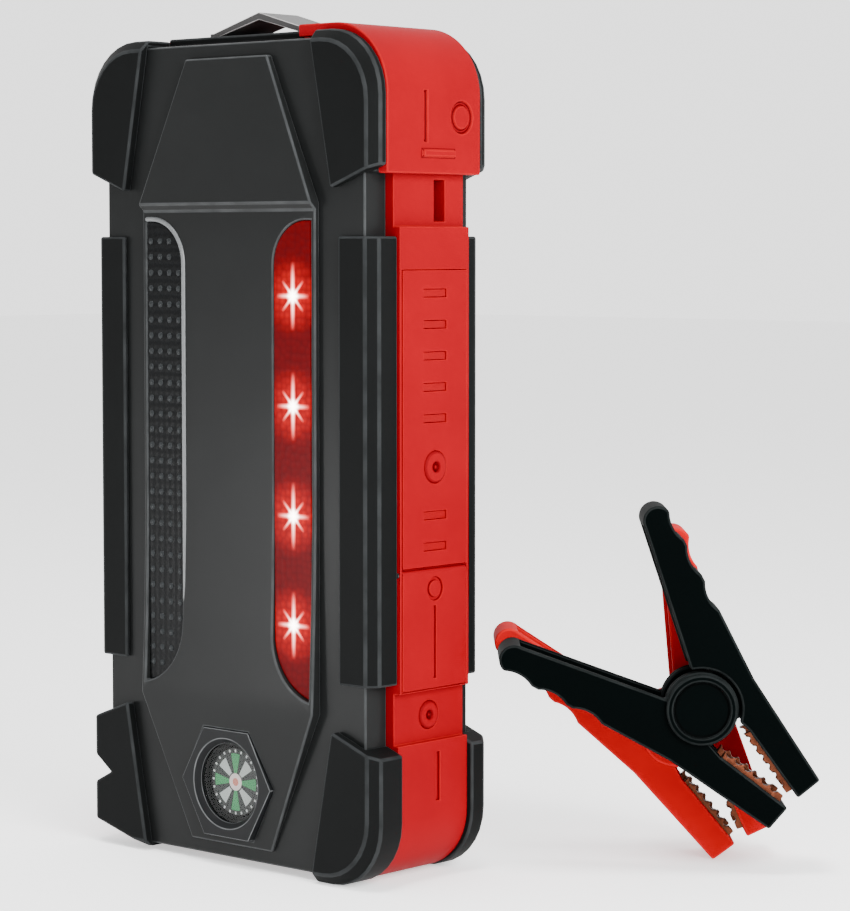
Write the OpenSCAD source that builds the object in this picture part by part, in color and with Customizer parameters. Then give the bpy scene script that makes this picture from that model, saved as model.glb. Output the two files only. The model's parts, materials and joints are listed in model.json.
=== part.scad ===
// Jump starter pack with its two booster clamps. Millimetres, +Z up, the front faces -Y.
// The origin is the middle of the pack's underside, on the surface it stands on.

/* [Pack] */
// Width over the corner bumpers
pack_w = 88; // [82:1:110]
// Height over the corner bumpers
pack_h = 180; // [174:1:220]
// Reach of the front bumpers from the band's middle
front_d = 20; // [19:0.5:26]
// Reach of the rear bumpers from the band's middle
rear_d = 17.2; // [16.4:0.1:24]
// Corner radius of the bumpers, seen from the front
corner_r = 14; // [12:0.5:17]

/* [Case] */
// Thickness of the bumpers beside the shells
bumper_side = 4.8; // [4:0.2:6]
// Thickness of the bumpers in front of the shells
bumper_lip = 2.5; // [2.2:0.1:3.4]
// Bevel along the bumpers' outer edge
bumper_bevel = 2.2; // [1:0.2:2.6]
// How far the shells' ends stay inside the bumper ends
end_inset = 1.6; // [1:0.2:2.4]
// Wall of the front and rear shells
shell_wall = 2; // [1.6:0.1:2.4]
// How far the side pads stay inside the bumpers' sides
pad_inset = 1.5; // [0.8:0.1:2.4]
// Thickness of the side pads in front of the shells
pad_lip = 1.3; // [0.8:0.1:2]
// Width of the side pads, seen from the front
pad_w = 9.8; // [8:0.2:12]
// Radius of the screw bosses
boss_r = 3.2; // [3:0.1:3.6]
// Radius of the screws' shanks
screw_r = 1.3; // [1:0.1:1.5]

/* [Red band] */
// Depth of the band between the shells
band_d = 22; // [20:0.5:24]
// Wall of the band
band_wall = 4.7; // [4:0.1:5.4]
// Height of the blocks at the band's top and bottom
end_block = 30; // [28:0.5:32]
// Height of the recesses beside those blocks
recess_h = 11; // [9:0.5:13]
// How far the band's raised middle stays inside the bumpers
middle_inset = 1; // [0.4:0.1:1.4]
// How far the bottom block stays inside the bumpers
foot_inset = 1.4; // [0.8:0.1:2.2]
// Reach of the jump cover to the front of the band's middle
cap_front = 15.8; // [13:0.1:16.2]
// Reach of the jump cover behind the band's middle
cap_rear = 13.5; // [12:0.1:14]
// Thickness of the jump cover
cap_t = 2.6; // [2.2:0.1:3]
// How far the jump cover stands above the bumpers
cap_rise = 1.5; // [0.8:0.1:2.2]
// Reach of the jump cover along the top, from the side
cap_reach = 27; // [25:0.5:28]
// Thickness of the seals
seal_t = 0.8; // [0.5:0.1:1.2]

/* [Front panel] */
// Half width of the raised panel at its ends
panel_end_x = 12.4; // [11:0.1:15]
// Half width of the raised panel along its middle
panel_mid_x = 26.3; // [26:0.1:27]
// Distance of the panel's ends from the bumper ends
panel_end = 4.7; // [4:0.1:6]
// Height of the tapered ends, from the bumper ends
shoulder = 36; // [35:0.5:38]
// Width of a light strip
strip_w = 11; // [10:0.2:11.6]
// Sweep radius of a light strip's lower end
strip_low_r = 13.5; // [12.5:0.5:15]
// Sweep radius of a light strip's upper end
strip_high_r = 9.3; // [8:0.1:10]
// Number of lights behind each strip
led_n = 4; // [3:1:4]
// Distance between the lights
led_pitch = 23.3; // [20:0.1:24]

/* [Compass] */
// Height of the compass centre
compass_z = 18.3; // [17.5:0.1:19]
// Corner radius of the six-sided bezel
bezel_r = 13.6; // [12.6:0.1:14]
// Radius of the compass cup
cup_r = 9.5; // [9:0.1:10]
// Radius of the turning card
card_r = 7.3; // [7:0.1:8.2]
// Radius of the pivot needle
needle_r = 0.4; // [0.3:0.05:0.5]

/* [Controls] */
// Radius of the power button
power_r = 3.4; // [3:0.1:3.8]
// Radius of the light button
light_r = 3; // [2.6:0.1:3.2]
// Travel of the buttons
button_travel = 0.5; // [0.3:0.1:0.8]
// Width of the light bars
bar_w = 7; // [6:0.2:8]
// Distance between the charge bars
bar_pitch = 6.6; // [5.6:0.1:6.8]
// Height of the port cover
port_h = 26; // [25:0.5:28]
// Radius of the cover hinge pins
hinge_pin_r = 0.5; // [0.4:0.05:0.55]
// Radius of the jump socket's contact bores
contact_r = 2.5; // [2:0.1:2.8]
// Distance between the jump socket's contacts
contact_pitch = 10; // [9:0.1:10.5]

/* [Clamps] */
// Length of a clamp lever
lever_len = 70; // [66:1:80]
// Distance of the pivot from the handle end
pivot_from_tip = 43; // [40:1:45]
// Width of a clamp lever
lever_w = 14; // [13.6:0.1:15]
// Wall of a clamp lever
lever_wall = 1.6; // [1.4:0.1:1.7]
// Angle of each lever to the clamp's axis
splay = 14.6; // [14:0.2:16]
// Radius of the pivot ears
ear_r = 8; // [7:0.1:8.4]
// Radius of the pivot pin
pivot_r = 2.4; // [2:0.1:2.8]
// Wire radius of the clamp spring
wire_r = 0.5; // [0.4:0.05:0.5]
// Coil radius of the clamp spring
coil_r = 4; // [3.8:0.1:4.4]
// Tilt of the black clamp's jaws below level
black_tilt = 45.8; // [40:0.2:56]
// Tilt of the red clamp's jaws below level
red_tilt = 59; // [56:0.5:66]
// Height at which the black clamp is held
black_lift = 10.2; // [0:0.2:14]

/* [Hidden] */
$fn = 48;
// Small clearance between pieces that seat on each other
fit = 0.1;
// Radial clearance of a shaft in its bearing hole
run = 0.05;

half_w = pack_w / 2;
shell_x = half_w - bumper_side;
shell_y = front_d - bumper_lip;
rear_y = rear_d - bumper_lip;
shell_r = corner_r - 2;
shell_in_y = shell_y - shell_wall;
rear_in_y = rear_y - shell_wall;
band_y = band_d / 2;

// Red band and its raised blocks
cap_r = corner_r + 1;
cap_top = pack_h + cap_rise;
cap_z = pack_h - end_block;
cap_x = half_w - cap_reach;
band_x = half_w - cap_t - fit;
band_top = cap_top - cap_t - fit;
band_r = cap_r - cap_t - fit;
band_in_x = band_x - band_wall;
band_floor = 4;
band_in_r = 6;
middle_x = half_w - middle_inset;
middle_z0 = end_block + recess_h;
middle_z1 = pack_h - middle_z0;
foot_x = half_w - foot_inset;
seal_w = shell_wall - 0.6;
seal_edge = 0.3;
// Gap between the jump cover and what it closes over
cap_gap = 0.6;
// How deep a block that stands on the band is rooted in it
root = 0.4;
slot_half = 1.7;
slot_y = 3.4;
slot_len = 8.8;
slit_half = 0.6;
slit_y = 1.6;
slit_len = 10.5;
slit_drop = 2.5;

// Bumper and pad outlines, seen from the front
bumper_top_x = 25;
bumper_low_x = 31.5;
bumper_inner_h = 33;
bumper_outer_h = 26.5;
cutter_drop = 6;
notch_x = 6.8;
notch_z0 = 13;
notch_tip_z = 16.6;
notch_z1 = 21.6;
pad_x = half_w - pad_inset;
pad_z0 = middle_z0 + 2;

// Raised front panel: thickness over the shell at each level
panel_head_t = 1.7;
panel_brow_t = bumper_lip + 0.4;
panel_brow_bevel = 1.4;
panel_top_t = 1.5;
panel_sill_t = 2.8;
panel_foot_t = 0.9;
panel_ramp = 50;
panel_ramp_n = 6;

// Plain recess in the rear shell
plate_in_x = 5;
plate_in_z = 8;
plate_sink = 0.5;

// Light strips
strip_side = 1.3;
strip_low = 2.5;
strip_high = 3.7;
strip_x1 = panel_mid_x - strip_side;
strip_x0 = strip_x1 - strip_w;
strip_z0 = shoulder + strip_low;
strip_z1 = pack_h - shoulder - strip_high;
strip_front = shell_y + 1.4;
flange_w = 1.2;
flange_t = 1;
led_in = 5.3;
led_x = strip_x1 - led_in;
led_first = 16;
led_last = 12;
led_z0 = strip_z0 + led_first;
// The LEDs draw together where the strip is too short for their full spacing
led_step = min(led_pitch, (strip_z1 - strip_z0 - led_first - led_last) / (led_n - 1));
led_s = 3;
led_h = 1.2;
led_y = shell_in_y - flange_t - fit;
strip_board_w = 10;
strip_board_t = 1.6;
strip_board_y = led_y - led_h;
strip_board_low = 4.5;
strip_board_high = 5.7;
strip_board_z0 = strip_z0 - strip_board_low;
strip_board_z1 = strip_z1 + strip_board_high;
strip_post_r = 1.5;
strip_post_in = 2.5;

// Compass
bezel_t = bumper_lip + 0.1;
view_r = cup_r - 0.8;
glass_r = cup_r - 0.2;
glass_t = 0.9;
cup_wall = 0.7;
cup_depth = 6;
cup_back = shell_y - cup_depth;
cup_floor = 1;
card_t = 0.6;
card_gap = 0.5;
card_y = shell_y - card_gap - card_t;
hub_r = 1.3;
hub_t = 1;
needle_tip = card_y + card_t / 3;
needle_base_r = 1;
needle_base_t = 0.7;

// Controls on the band's right side
cover_half = band_y - 0.9;
cover_t = 1.6;
cover_seat = middle_x - cover_t;
cover_proud = 0.2;
port_z0 = middle_z0 + 0.5;
port_z1 = middle_z0 + port_h;
control_z0 = port_z1 + 0.4;
control_drop = 9.1;
control_z1 = middle_z1 - control_drop;
bar_t = 1.6;
charge_n = 5;
charge_drop = 4.8;
status_n = 2;
status_rise = 4.2;
power_rise = 21;
power_to_charge = 10.3;
// The controls draw together where the panel is too short for their full spacing
control_need = power_rise + power_to_charge + (charge_n - 1) * bar_pitch + charge_drop;
control_fit = min(1, (control_z1 - control_z0) / control_need);
bar_step = bar_pitch * control_fit;
charge_z = control_z1 - charge_drop * control_fit - (charge_n - 1) * bar_step;
status_z = control_z0 + status_rise * control_fit;
power_z = control_z0 + power_rise * control_fit;
light_z = end_block + recess_h / 2;
flange_over = 0.9;
button_flange = 1.2;
button_proud = 0.3;
power_back = cover_seat - button_flange - fit;
light_face = band_x - 1.5;
light_back = light_face - button_flange;
port_knuckle = cover_t / 2;
port_axis_x = cover_seat + fit + port_knuckle;
port_axis_z = port_z1 - fit - port_knuckle;

// Finger lip on the jump cover, and the plain marks on the two covers
lip_half = 5;
lip_z = 3.6;
lip_t = 1.4;
lip_out = 0.7;
mark_w = 0.9;
mark_sink = 0.5;
mark_bar_y = -3.4;
mark_bar_h = 10.5;
mark_ring_y = 7.5;
mark_ring_r = 3.4;
port_ring_drop = 4.4;
port_ring_r = 2.6;

// Jump socket and its cover
knuckle_r = cap_t / 2;
knuckle_half = band_y - 2.5;
hinge_x = cap_x;
hinge_z = cap_top - knuckle_r;
socket_rise = 12;
socket_z = cap_z + socket_rise;
socket_wall_z = 5.5;
socket_half_z = contact_pitch / 2 + socket_wall_z;
socket_wall_y = 2.9;
socket_half_y = contact_r + socket_wall_y;
socket_sink = 1.8;
socket_face = band_x - socket_sink;
socket_len = 17;
socket_back = socket_face - socket_len;
socket_flange_x = band_in_x - fit;
socket_flange_t = 1.9;
socket_flange_lap = 2;
socket_flange_y = socket_half_y + socket_flange_lap;
socket_flange_low = 1.5;
contact_wall = 0.7;
contact_len = 12;
contact_tail = 6;
contact_tail_t = 1.5;

// Boards, sockets and switches
board_t = 1.6;
board_x = band_in_x - 1.2;
board_half = band_y - 1.6;
board_low = 5.5;
board_high = 4;
board_z0 = light_z - board_low;
board_z1 = control_z1 + board_high;
board_post_r = 1.5;
board_post_y = board_half - 2;
board_post_in = 3;
switch_s = 5.6;
plunger_r = 1.7;
plunger_h = 0.6;
usb_n = 2;
usb_w = 13.1;
usb_h = 5.7;
usb_len = 13;
usb_wall = 0.4;
usb_pitch = 9;
usb_rise = 7.3;
usb_z0 = port_z0 + usb_rise;
usb_face = band_x - fit;
usb_room = 0.4;

// Case screws
boss_out = 2;
boss_x = panel_mid_x + boss_out;
boss_drop = 1;
boss_z0 = shoulder - boss_drop;
boss_z1 = pack_h - boss_z0;
boss_reach = 3.5;
boss_split = rear_in_y - boss_reach;
screw_head_r = 2.8;
screw_head_t = 1.6;
screw_len = 18;
screw_sink = 1.8;

// Battery
cell_n = 3;
cell_margin = 6.5;
cell_z0 = boss_z0 + boss_r + cell_margin;
cell_z1 = boss_z1 - boss_r - cell_margin;
cell_x0 = -band_in_x + 1.6;
cell_x1 = usb_face - usb_len - 1.5;
tray_t = 1.4;
tray_y = -band_y + 1.4;
tray_rim = 0.8;
tray_post_x = 10;
tray_post_r = 2.5;
tray_post_in = 5;
foam_t = 1;
foam_in = 2;
cell_y0 = tray_y + tray_t + foam_t + 2 * fit;
cell_y1 = rear_in_y - foam_t - 2 * fit;
cell_t = (cell_y1 - cell_y0 - (cell_n - 1) * fit) / cell_n;
bus_w = 6;
bus_t = 1.5;

// Top deck and the carry bridge on it
deck_x0 = panel_mid_x - fit;
deck_x1 = cap_x - knuckle_r - 2 * fit;
deck_t = 1.8;
deck_y = band_y - fit;
deck_top = band_top + deck_t;
deck_gap_x = 6;
bridge_foot = 2.6;
bridge_end = 0.5;
bridge_x = deck_x1 - bridge_foot - bridge_end;
bridge_rise = 3.2;
bridge_t = 1.6;
bridge_y0 = -9;
bridge_y1 = 3;

// Belt cutter in the lower left bumper
blade_y = (shell_y + band_y) / 2;
blade_t = 0.8;
blade_w = 3.2;
blade_over = 2.4;

// Clamps
clamp_yaw = 41.8;
lever_off = 11.7;
tip_r = 3.2;
tip_s = tip_r - pivot_from_tip;
jaw_s = lever_len - pivot_from_tip;
waist_o = lever_off + 1.3;
// The jaws' edges stay this far from the clamp's axis at the nose, whatever the lever's length
jaw_half_gap = 1.51643;
jaw_depth = 6;
jaw_edge_o = (jaw_half_gap + jaw_s * sin(splay)) / cos(splay);
jaw_o = jaw_edge_o + jaw_depth;
jaw_nose = 1;
throat_s = ear_r + 1;
throat_o = 6.6;
root_s = -6;
root_o = 1.7;
grip_n = 3;
grip_r = 7;
grip_first = 3;
grip_pitch = 8.5;
grip_cut = 0.9;
ear_room = 0.7;
ear_gap = 0.3;
ear_out = lever_w / 2 - lever_wall;
ear_in = ear_out - ear_gap - lever_wall;
jaw_fit = 0.15;
jaw_t = 1.4;
jaw_s0 = throat_s + 0.5;
jaw_s1 = jaw_s - lever_wall - 0.3;
tooth_pitch = 2.4;
tooth_r = 1;
tooth_n = floor((jaw_s1 - jaw_s0) / tooth_pitch);
tooth_show = 1.4;
disc_r = ear_r - 0.4;
disc_t = 1.4;
disc_rim = 1.6;
disc_sink = 0.4;
coil_turns = 3;
coil_pitch = 2 * wire_r + 0.65;
leg_s = -24;
black_pivot = [78.4, 46.0];
red_pivot = [63.8, 56.3];

clamp_black = [0.05, 0.06, 0.06];
clamp_red = [0.93, 0.11, 0.13];
case_grey = [0.2, 0.2, 0.2];
bumper_black = [0.13, 0.13, 0.13];
band_red = [0.93, 0.2, 0.22];
copper = [0.72, 0.45, 0.3];
steel = [0.75, 0.76, 0.78];

// Extrudes an outline drawn in X and Z from y0 to y1
module slab(y0, y1) {
    translate([0, y1, 0]) rotate([90, 0, 0]) linear_extrude(y1 - y0) children();
}

// Extrudes an outline drawn in Y and Z from x0 to x1
module side_slab(x0, x1) {
    translate([x0, 0, 0]) rotate([90, 0, 90]) linear_extrude(x1 - x0) children();
}

// Cylinder along Y
module rod_y(x, z, y0, y1, r) {
    translate([x, y1, z]) rotate([90, 0, 0]) cylinder(h = y1 - y0, r = r);
}

// Cylinder along X
module rod_x(y, z, x0, x1, r) {
    translate([x0, y, z]) rotate([0, 90, 0]) cylinder(h = x1 - x0, r = r);
}

// Box from its lowest to its highest corner
module box(low, high) {
    translate(low) cube(high - low);
}

// Upright rounded rectangle, centred on x = 0
module round_rect(x, z0, z1, r) {
    translate([r - x, z0]) square([2 * (x - r), z1 - z0]);
    translate([-x, z0 + r]) square([2 * x, z1 - z0 - 2 * r]);
    for (sx = [-1, 1], z = [z0 + r, z1 - r]) translate([sx * (x - r), z]) circle(r);
}

// A piece at a distance in front of the middle and its mirror image behind
module ear_pair(y) {
    translate([0, y, 0]) children();
    mirror([0, 1, 0]) translate([0, y, 0]) children();
}

module both_sides() {
    children();
    mirror([1, 0, 0]) children();
}

module front_to_rear() {
    mirror([0, 1, 0]) children();
}

// Shell outline, drawn in by the given amount
module shell_outline(inset) {
    round_rect(shell_x - inset, end_inset + inset, pack_h - end_inset - inset, shell_r - inset);
}

// Tray of the front shell, with its face at the given depth
module shell_tray(face) {
    difference() {
        slab(-face, -band_y) shell_outline(0);
        slab(-face + shell_wall, fit) shell_outline(shell_wall);
    }
}

module at_bosses() {
    for (x = [-boss_x, boss_x], z = [boss_z0, boss_z1]) translate([x, 0, z]) children();
}

// Right light strip, grown by the given amount
module strip_outline(grow) {
    intersection() {
        translate([strip_x0 - grow, strip_z0 - grow])
            square([strip_w + 2 * grow, strip_z1 - strip_z0 + 2 * grow]);
        union() {
            translate([strip_x0 - grow, strip_z0 + strip_low_r])
                square([strip_w + 2 * grow, strip_z1 - strip_z0 - strip_low_r - strip_high_r]);
            translate([strip_x0 + strip_low_r, strip_z0 + strip_low_r]) circle(strip_low_r + grow);
            translate([strip_x0 + strip_high_r, strip_z1 - strip_high_r]) circle(strip_high_r + grow);
            translate([strip_x0 + strip_high_r, strip_z1 - strip_high_r])
                square([strip_w, strip_high_r + grow]);
        }
    }
}

module front_shell() {
    color(case_grey) difference() {
        union() {
            shell_tray(shell_y);
            at_bosses() rod_y(0, 0, -shell_in_y - shell_wall / 2, boss_split, boss_r);
            for (x = [-tray_post_x, tray_post_x], z = [cell_z0 + tray_post_in, cell_z1 - tray_post_in])
                rod_y(x, z, -shell_in_y - shell_wall / 2, tray_y, tray_post_r);
            for (x = [-led_x, led_x], z = [strip_board_z0 + strip_post_in, strip_board_z1 - strip_post_in])
                rod_y(x, z, -shell_in_y - shell_wall / 2, -strip_board_y, strip_post_r);
        }
        at_bosses() rod_y(0, 0, boss_split - screw_len, boss_split + fit, screw_r + run);
        both_sides() slab(-shell_y - fit, -shell_in_y + fit) strip_outline(fit);
        rod_y(0, compass_z, -shell_y - fit, -shell_in_y + fit, cup_r + fit);
    }
}

module panel_outline() {
    polygon([
        [-panel_end_x, pack_h - panel_end], [panel_end_x, pack_h - panel_end],
        [panel_mid_x, pack_h - shoulder], [panel_mid_x, shoulder],
        [panel_end_x, panel_end], [-panel_end_x, panel_end],
        [-panel_mid_x, shoulder], [-panel_mid_x, pack_h - shoulder]
    ]);
}

// Side profile of the raised panel: a brow over a sunk middle that sweeps out to the sill
module panel_profile() {
    polygon([
        [-shell_y, panel_end], [-shell_y - panel_foot_t, panel_end],
        for (i = [0 : panel_ramp_n]) let (u = i / panel_ramp_n, rise = (1 - u) * (1 - u))
            [-shell_y - panel_top_t - (panel_sill_t - panel_top_t) * rise, shoulder + u * panel_ramp],
        [-shell_y - panel_top_t, pack_h - shoulder - panel_brow_bevel],
        [-shell_y - panel_brow_t, pack_h - shoulder],
        [-shell_y - panel_head_t, pack_h - panel_end], [-shell_y, pack_h - panel_end]
    ]);
}

module bezel_outline(grow) {
    translate([0, compass_z]) circle(r = bezel_r + grow, $fn = 6);
}

module front_panel() {
    color(case_grey) difference() {
        intersection() {
            slab(-shell_y - panel_brow_t, -shell_y) panel_outline();
            side_slab(-panel_mid_x, panel_mid_x) panel_profile();
        }
        both_sides() slab(-shell_y - panel_brow_t - fit, -shell_y + fit) strip_outline(fit);
        slab(-shell_y - panel_brow_t - fit, -shell_y + fit) bezel_outline(fit);
    }
}

module rear_shell() {
    color(case_grey) difference() {
        union() {
            front_to_rear() shell_tray(rear_y);
            at_bosses() rod_y(0, 0, boss_split + fit, rear_y - shell_wall / 2, boss_r);
        }
        at_bosses() rod_y(0, 0, boss_split, rear_y + fit, screw_r + 2 * fit);
        at_bosses() rod_y(0, 0, rear_y - screw_sink, rear_y + fit, screw_head_r + fit);
        box([-panel_mid_x + plate_in_x, rear_y - plate_sink, shoulder + plate_in_z],
            [panel_mid_x - plate_in_x, rear_y + fit, pack_h - shoulder - plate_in_z]);
    }
}

// Inside of the jump cover, grown by the given amount
module cap_inner(grow) {
    round_rect(half_w - cap_t + grow, 0, cap_top - cap_t + grow, cap_r - cap_t + grow);
}

// Jump cover, seen from the front: a shell over the band's upper right corner
module cap_outline() {
    difference() {
        intersection() {
            round_rect(half_w, 0, cap_top, cap_r);
            translate([cap_x, cap_z]) square([cap_reach + fit, end_block + cap_rise + fit]);
        }
        cap_inner(0);
    }
}

module band_outline() {
    round_rect(band_x, 0, band_top, band_r);
    translate([-middle_x, middle_z0]) square([2 * middle_x, middle_z1 - middle_z0]);
    intersection() {
        round_rect(foot_x, 0, pack_h, corner_r);
        union() {
            translate([-foot_x, 0]) square([2 * foot_x, end_block]);
            translate([-foot_x, cap_z]) square([foot_x - deck_x0 - 2 * fit, end_block]);
        }
    }
}

module seal_outline() {
    difference() {
        shell_outline(seal_edge);
        shell_outline(seal_edge + seal_w);
    }
}

// Windows, bores and pockets in the band's right side
module side_cuts() {
    box([cover_seat, -cover_half - fit, port_z0 - fit], [half_w, cover_half + fit, port_z1]);
    box([cover_seat, -cover_half - fit, control_z0 - fit], [half_w, cover_half + fit, control_z1 + fit]);
    light_guide_core(charge_z, charge_n, fit);
    light_guide_core(status_z, status_n, fit);
    rod_x(0, power_z, band_in_x - fit, cover_seat + fit, power_r + flange_over + 2 * fit);
    rod_x(0, light_z, band_in_x - fit, light_face + fit, light_r + flange_over + 2 * fit);
    rod_x(0, light_z, band_in_x, half_w, light_r + fit);
    box([band_in_x - fit, -usb_w / 2 - usb_room, usb_z0 - usb_h / 2 - usb_room],
        [half_w, usb_w / 2 + usb_room, usb_z0 + (usb_n - 1) * usb_pitch + usb_h / 2 + usb_room]);
    box([band_in_x - fit, -socket_half_y - fit, socket_z - socket_half_z - fit],
        [half_w, socket_half_y + fit, socket_z + socket_half_z + fit]);
    box([socket_back, -socket_flange_y - fit, socket_z - socket_half_z - socket_flange_low - fit],
        [band_in_x, socket_flange_y + fit, socket_z + socket_half_z + fit]);
    lanyard_slot();
    rod_y(port_axis_x, port_axis_z, -band_y - fit, band_y + fit, hinge_pin_r + fit / 5);
    box([foot_x - slit_half, slit_y - slit_half, end_block - slit_drop - slit_len],
        [half_w, slit_y + slit_half, end_block - slit_drop]);
}

module lanyard_slot() {
    z = cap_z - recess_h / 2;
    box([band_in_x - fit, slot_y - slot_half, z - slot_len / 2],
        [half_w, slot_y + slot_half, z + slot_len / 2]);
}

// Lugs that carry the jump cover's hinge pin
module cover_lugs() {
    lug_t = band_y - knuckle_half - 2 * fit;
    ear_pair(knuckle_half + 2 * fit) {
        rod_y(hinge_x, hinge_z, 0, lug_t, knuckle_r);
        box([hinge_x - knuckle_r, 0, band_top - root], [hinge_x + knuckle_r, lug_t, hinge_z]);
    }
}

module mid_frame() {
    color(band_red) difference() {
        union() {
            difference() {
                slab(-band_y, band_y) band_outline();
                slab(-band_y - fit, band_y + fit)
                    round_rect(band_in_x, band_floor, band_top - band_floor, band_in_r);
            }
            cover_lugs();
            for (y = [-board_post_y, board_post_y], z = [board_z0 + board_post_in, board_z1 - board_post_in])
                rod_x(y, z, board_x, band_in_x + 0.5, board_post_r);
        }
        side_cuts();
        slab(-band_y - fit, -band_y + seal_t) seal_outline();
        slab(band_y - seal_t, band_y + fit) seal_outline();
        rod_y(hinge_x, hinge_z, -band_y - fit, band_y + fit, hinge_pin_r + fit / 5);
    }
}

module front_seal() {
    color([0.08, 0.08, 0.08]) slab(-band_y, -band_y + seal_t) seal_outline();
}

module rear_seal() {
    color([0.08, 0.08, 0.08]) slab(band_y - seal_t, band_y) seal_outline();
}

// Bevelled block that a set of bumpers is cut from, with the given half width, front and corner
module guard_block(x, front, r) {
    hull() {
        slab(-front + bumper_bevel, -band_y)
            round_rect(x, half_w - x, pack_h - half_w + x, r, $fn = 32);
        slab(-front, -front + fit)
            round_rect(x - bumper_bevel, half_w - x + bumper_bevel,
                pack_h - half_w + x - bumper_bevel, r - bumper_bevel / 2, $fn = 32);
    }
}

// Room for a shell with the given face, and for the jump cover, inside the bumpers and pads
module guard_room(face, cover_reach) {
    slab(-face - fit, 0) shell_outline(-fit);
    slab(-cover_reach - fit, 0) difference() {
        translate([cap_x - fit, cap_z - fit]) square([pack_w, pack_h]);
        cap_inner(-cap_gap);
    }
}

// Upper right bumper, seen from the front
module bumper_outline() {
    polygon([
        [bumper_top_x, cap_top], [bumper_low_x, pack_h - bumper_inner_h],
        [half_w + bumper_side, pack_h - bumper_outer_h], [half_w + bumper_side, cap_top]
    ]);
}

module lower_bumper_outline() {
    translate([0, pack_h]) mirror([0, 1]) bumper_outline();
}

// Lower left bumper: a square corner with the belt notch, its underside rising to the left
module cutter_bumper_outline() {
    difference() {
        mirror([1, 0]) lower_bumper_outline();
        polygon([
            [-half_w - fit, -fit], [-half_w - fit, cutter_drop],
            [-bumper_top_x, end_inset / 2], [-bumper_top_x, -fit]
        ]);
        polygon([
            [-half_w - fit, notch_z0], [-half_w + notch_x, notch_tip_z], [-half_w - fit, notch_z1]
        ]);
    }
}

// Bumpers with the given corner radius and reach, cut to an outline
module bumper(r, reach, cover_reach) {
    difference() {
        intersection() {
            guard_block(half_w, reach, r);
            slab(-reach, -band_y) children();
        }
        guard_room(reach - bumper_lip, cover_reach);
    }
}

module bumper_top_left() {
    color(bumper_black) bumper(corner_r, front_d, cap_front) mirror([1, 0]) bumper_outline();
}

module bumper_top_right() {
    color(bumper_black) bumper(corner_r, front_d, cap_front) bumper_outline();
}

module bumper_bottom_right() {
    color(bumper_black) bumper(corner_r, front_d, cap_front) lower_bumper_outline();
}

module bumper_bottom_left() {
    color(bumper_black) difference() {
        bumper(bumper_bevel + 1, front_d, cap_front) cutter_bumper_outline();
        slab(-blade_y - blade_t / 2 - fit, -blade_y + blade_t / 2 + fit) blade_outline(fit);
    }
}

module rear_bumpers() {
    color(bumper_black) front_to_rear() bumper(corner_r, rear_d, cap_rear) both_sides() {
        bumper_outline();
        lower_bumper_outline();
    }
}

// Pads on both sides of a shell with the given face
module side_pads(face) {
    difference() {
        intersection() {
            guard_block(pad_x, face + pad_lip, corner_r);
            slab(-face - pad_lip, -band_y) both_sides() translate([pad_x - pad_w, pad_z0])
                square([pad_w, pack_h - 2 * pad_z0]);
        }
        guard_room(face, band_y);
    }
}

module front_side_pads() {
    color(bumper_black) side_pads(shell_y);
}

module rear_side_pads() {
    color(bumper_black) front_to_rear() side_pads(rear_y);
}

module lens() {
    slab(-strip_front, -shell_in_y + fit) strip_outline(0);
    slab(-shell_in_y, -shell_in_y + flange_t) strip_outline(flange_w);
}

module lens_left() {
    color([0.05, 0.05, 0.06]) mirror([1, 0, 0]) lens();
}

module lens_right() {
    color([0.65, 0.02, 0.08]) lens();
}

module strip_board() {
    box([led_x - strip_board_w / 2, -strip_board_y, strip_board_z0],
        [led_x + strip_board_w / 2, -strip_board_y + strip_board_t, strip_board_z1]);
}

module led_board_left() {
    color([0.05, 0.3, 0.15]) mirror([1, 0, 0]) strip_board();
}

module led_board_right() {
    color([0.05, 0.3, 0.15]) strip_board();
}

module strip_leds() {
    for (i = [0 : led_n - 1]) let (z = led_z0 + i * led_step)
        box([led_x - led_s / 2, -led_y, z - led_s / 2], [led_x + led_s / 2, -strip_board_y, z + led_s / 2]);
}

module leds_left() {
    color([0.95, 0.95, 0.85]) mirror([1, 0, 0]) strip_leds();
}

module leds_right() {
    color([1, 0.4, 0.35]) strip_leds();
}

module compass_bezel() {
    color(case_grey) difference() {
        slab(-shell_y - bezel_t, -shell_y) bezel_outline(0);
        rod_y(0, compass_z, -front_d - fit, -shell_y + fit, view_r);
        translate([0, -shell_y - bezel_t / 2, compass_z]) rotate([90, 0, 0])
            cylinder(h = bezel_t / 2 + fit, r1 = view_r, r2 = view_r + bezel_t / 2);
        rod_y(0, compass_z, -shell_y - glass_t - fit, -shell_y + fit, glass_r + fit);
    }
}

module compass_glass() {
    color([0.85, 0.9, 0.92, 0.35]) rod_y(0, compass_z, -shell_y - glass_t, -shell_y, glass_r);
}

module compass_cup() {
    color([0.1, 0.1, 0.1]) difference() {
        rod_y(0, compass_z, -shell_y, -cup_back, cup_r);
        rod_y(0, compass_z, -shell_y - fit, -cup_back - cup_floor, cup_r - cup_wall);
    }
}

module compass_needle() {
    color(steel) {
        rod_y(0, compass_z, -cup_back - cup_floor - needle_base_t, -cup_back - cup_floor, needle_base_r);
        rod_y(0, compass_z, -needle_tip, -cup_back - cup_floor, needle_r);
    }
}

module compass_card() {
    color([0.12, 0.35, 0.22]) difference() {
        union() {
            rod_y(0, compass_z, -card_y - card_t, -card_y, card_r);
            rod_y(0, compass_z, -card_y - fit, -card_y + hub_t, hub_r);
        }
        rod_y(0, compass_z, -needle_tip - fit, -card_y + hub_t + fit, needle_r + run);
    }
}

// Ring groove in a side face, from the given depth outwards
module side_ring(y, z, x, r) {
    difference() {
        rod_x(y, z, x, half_w + fit, r);
        rod_x(y, z, x - fit, half_w + 2 * fit, r - mark_w);
    }
}

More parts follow.
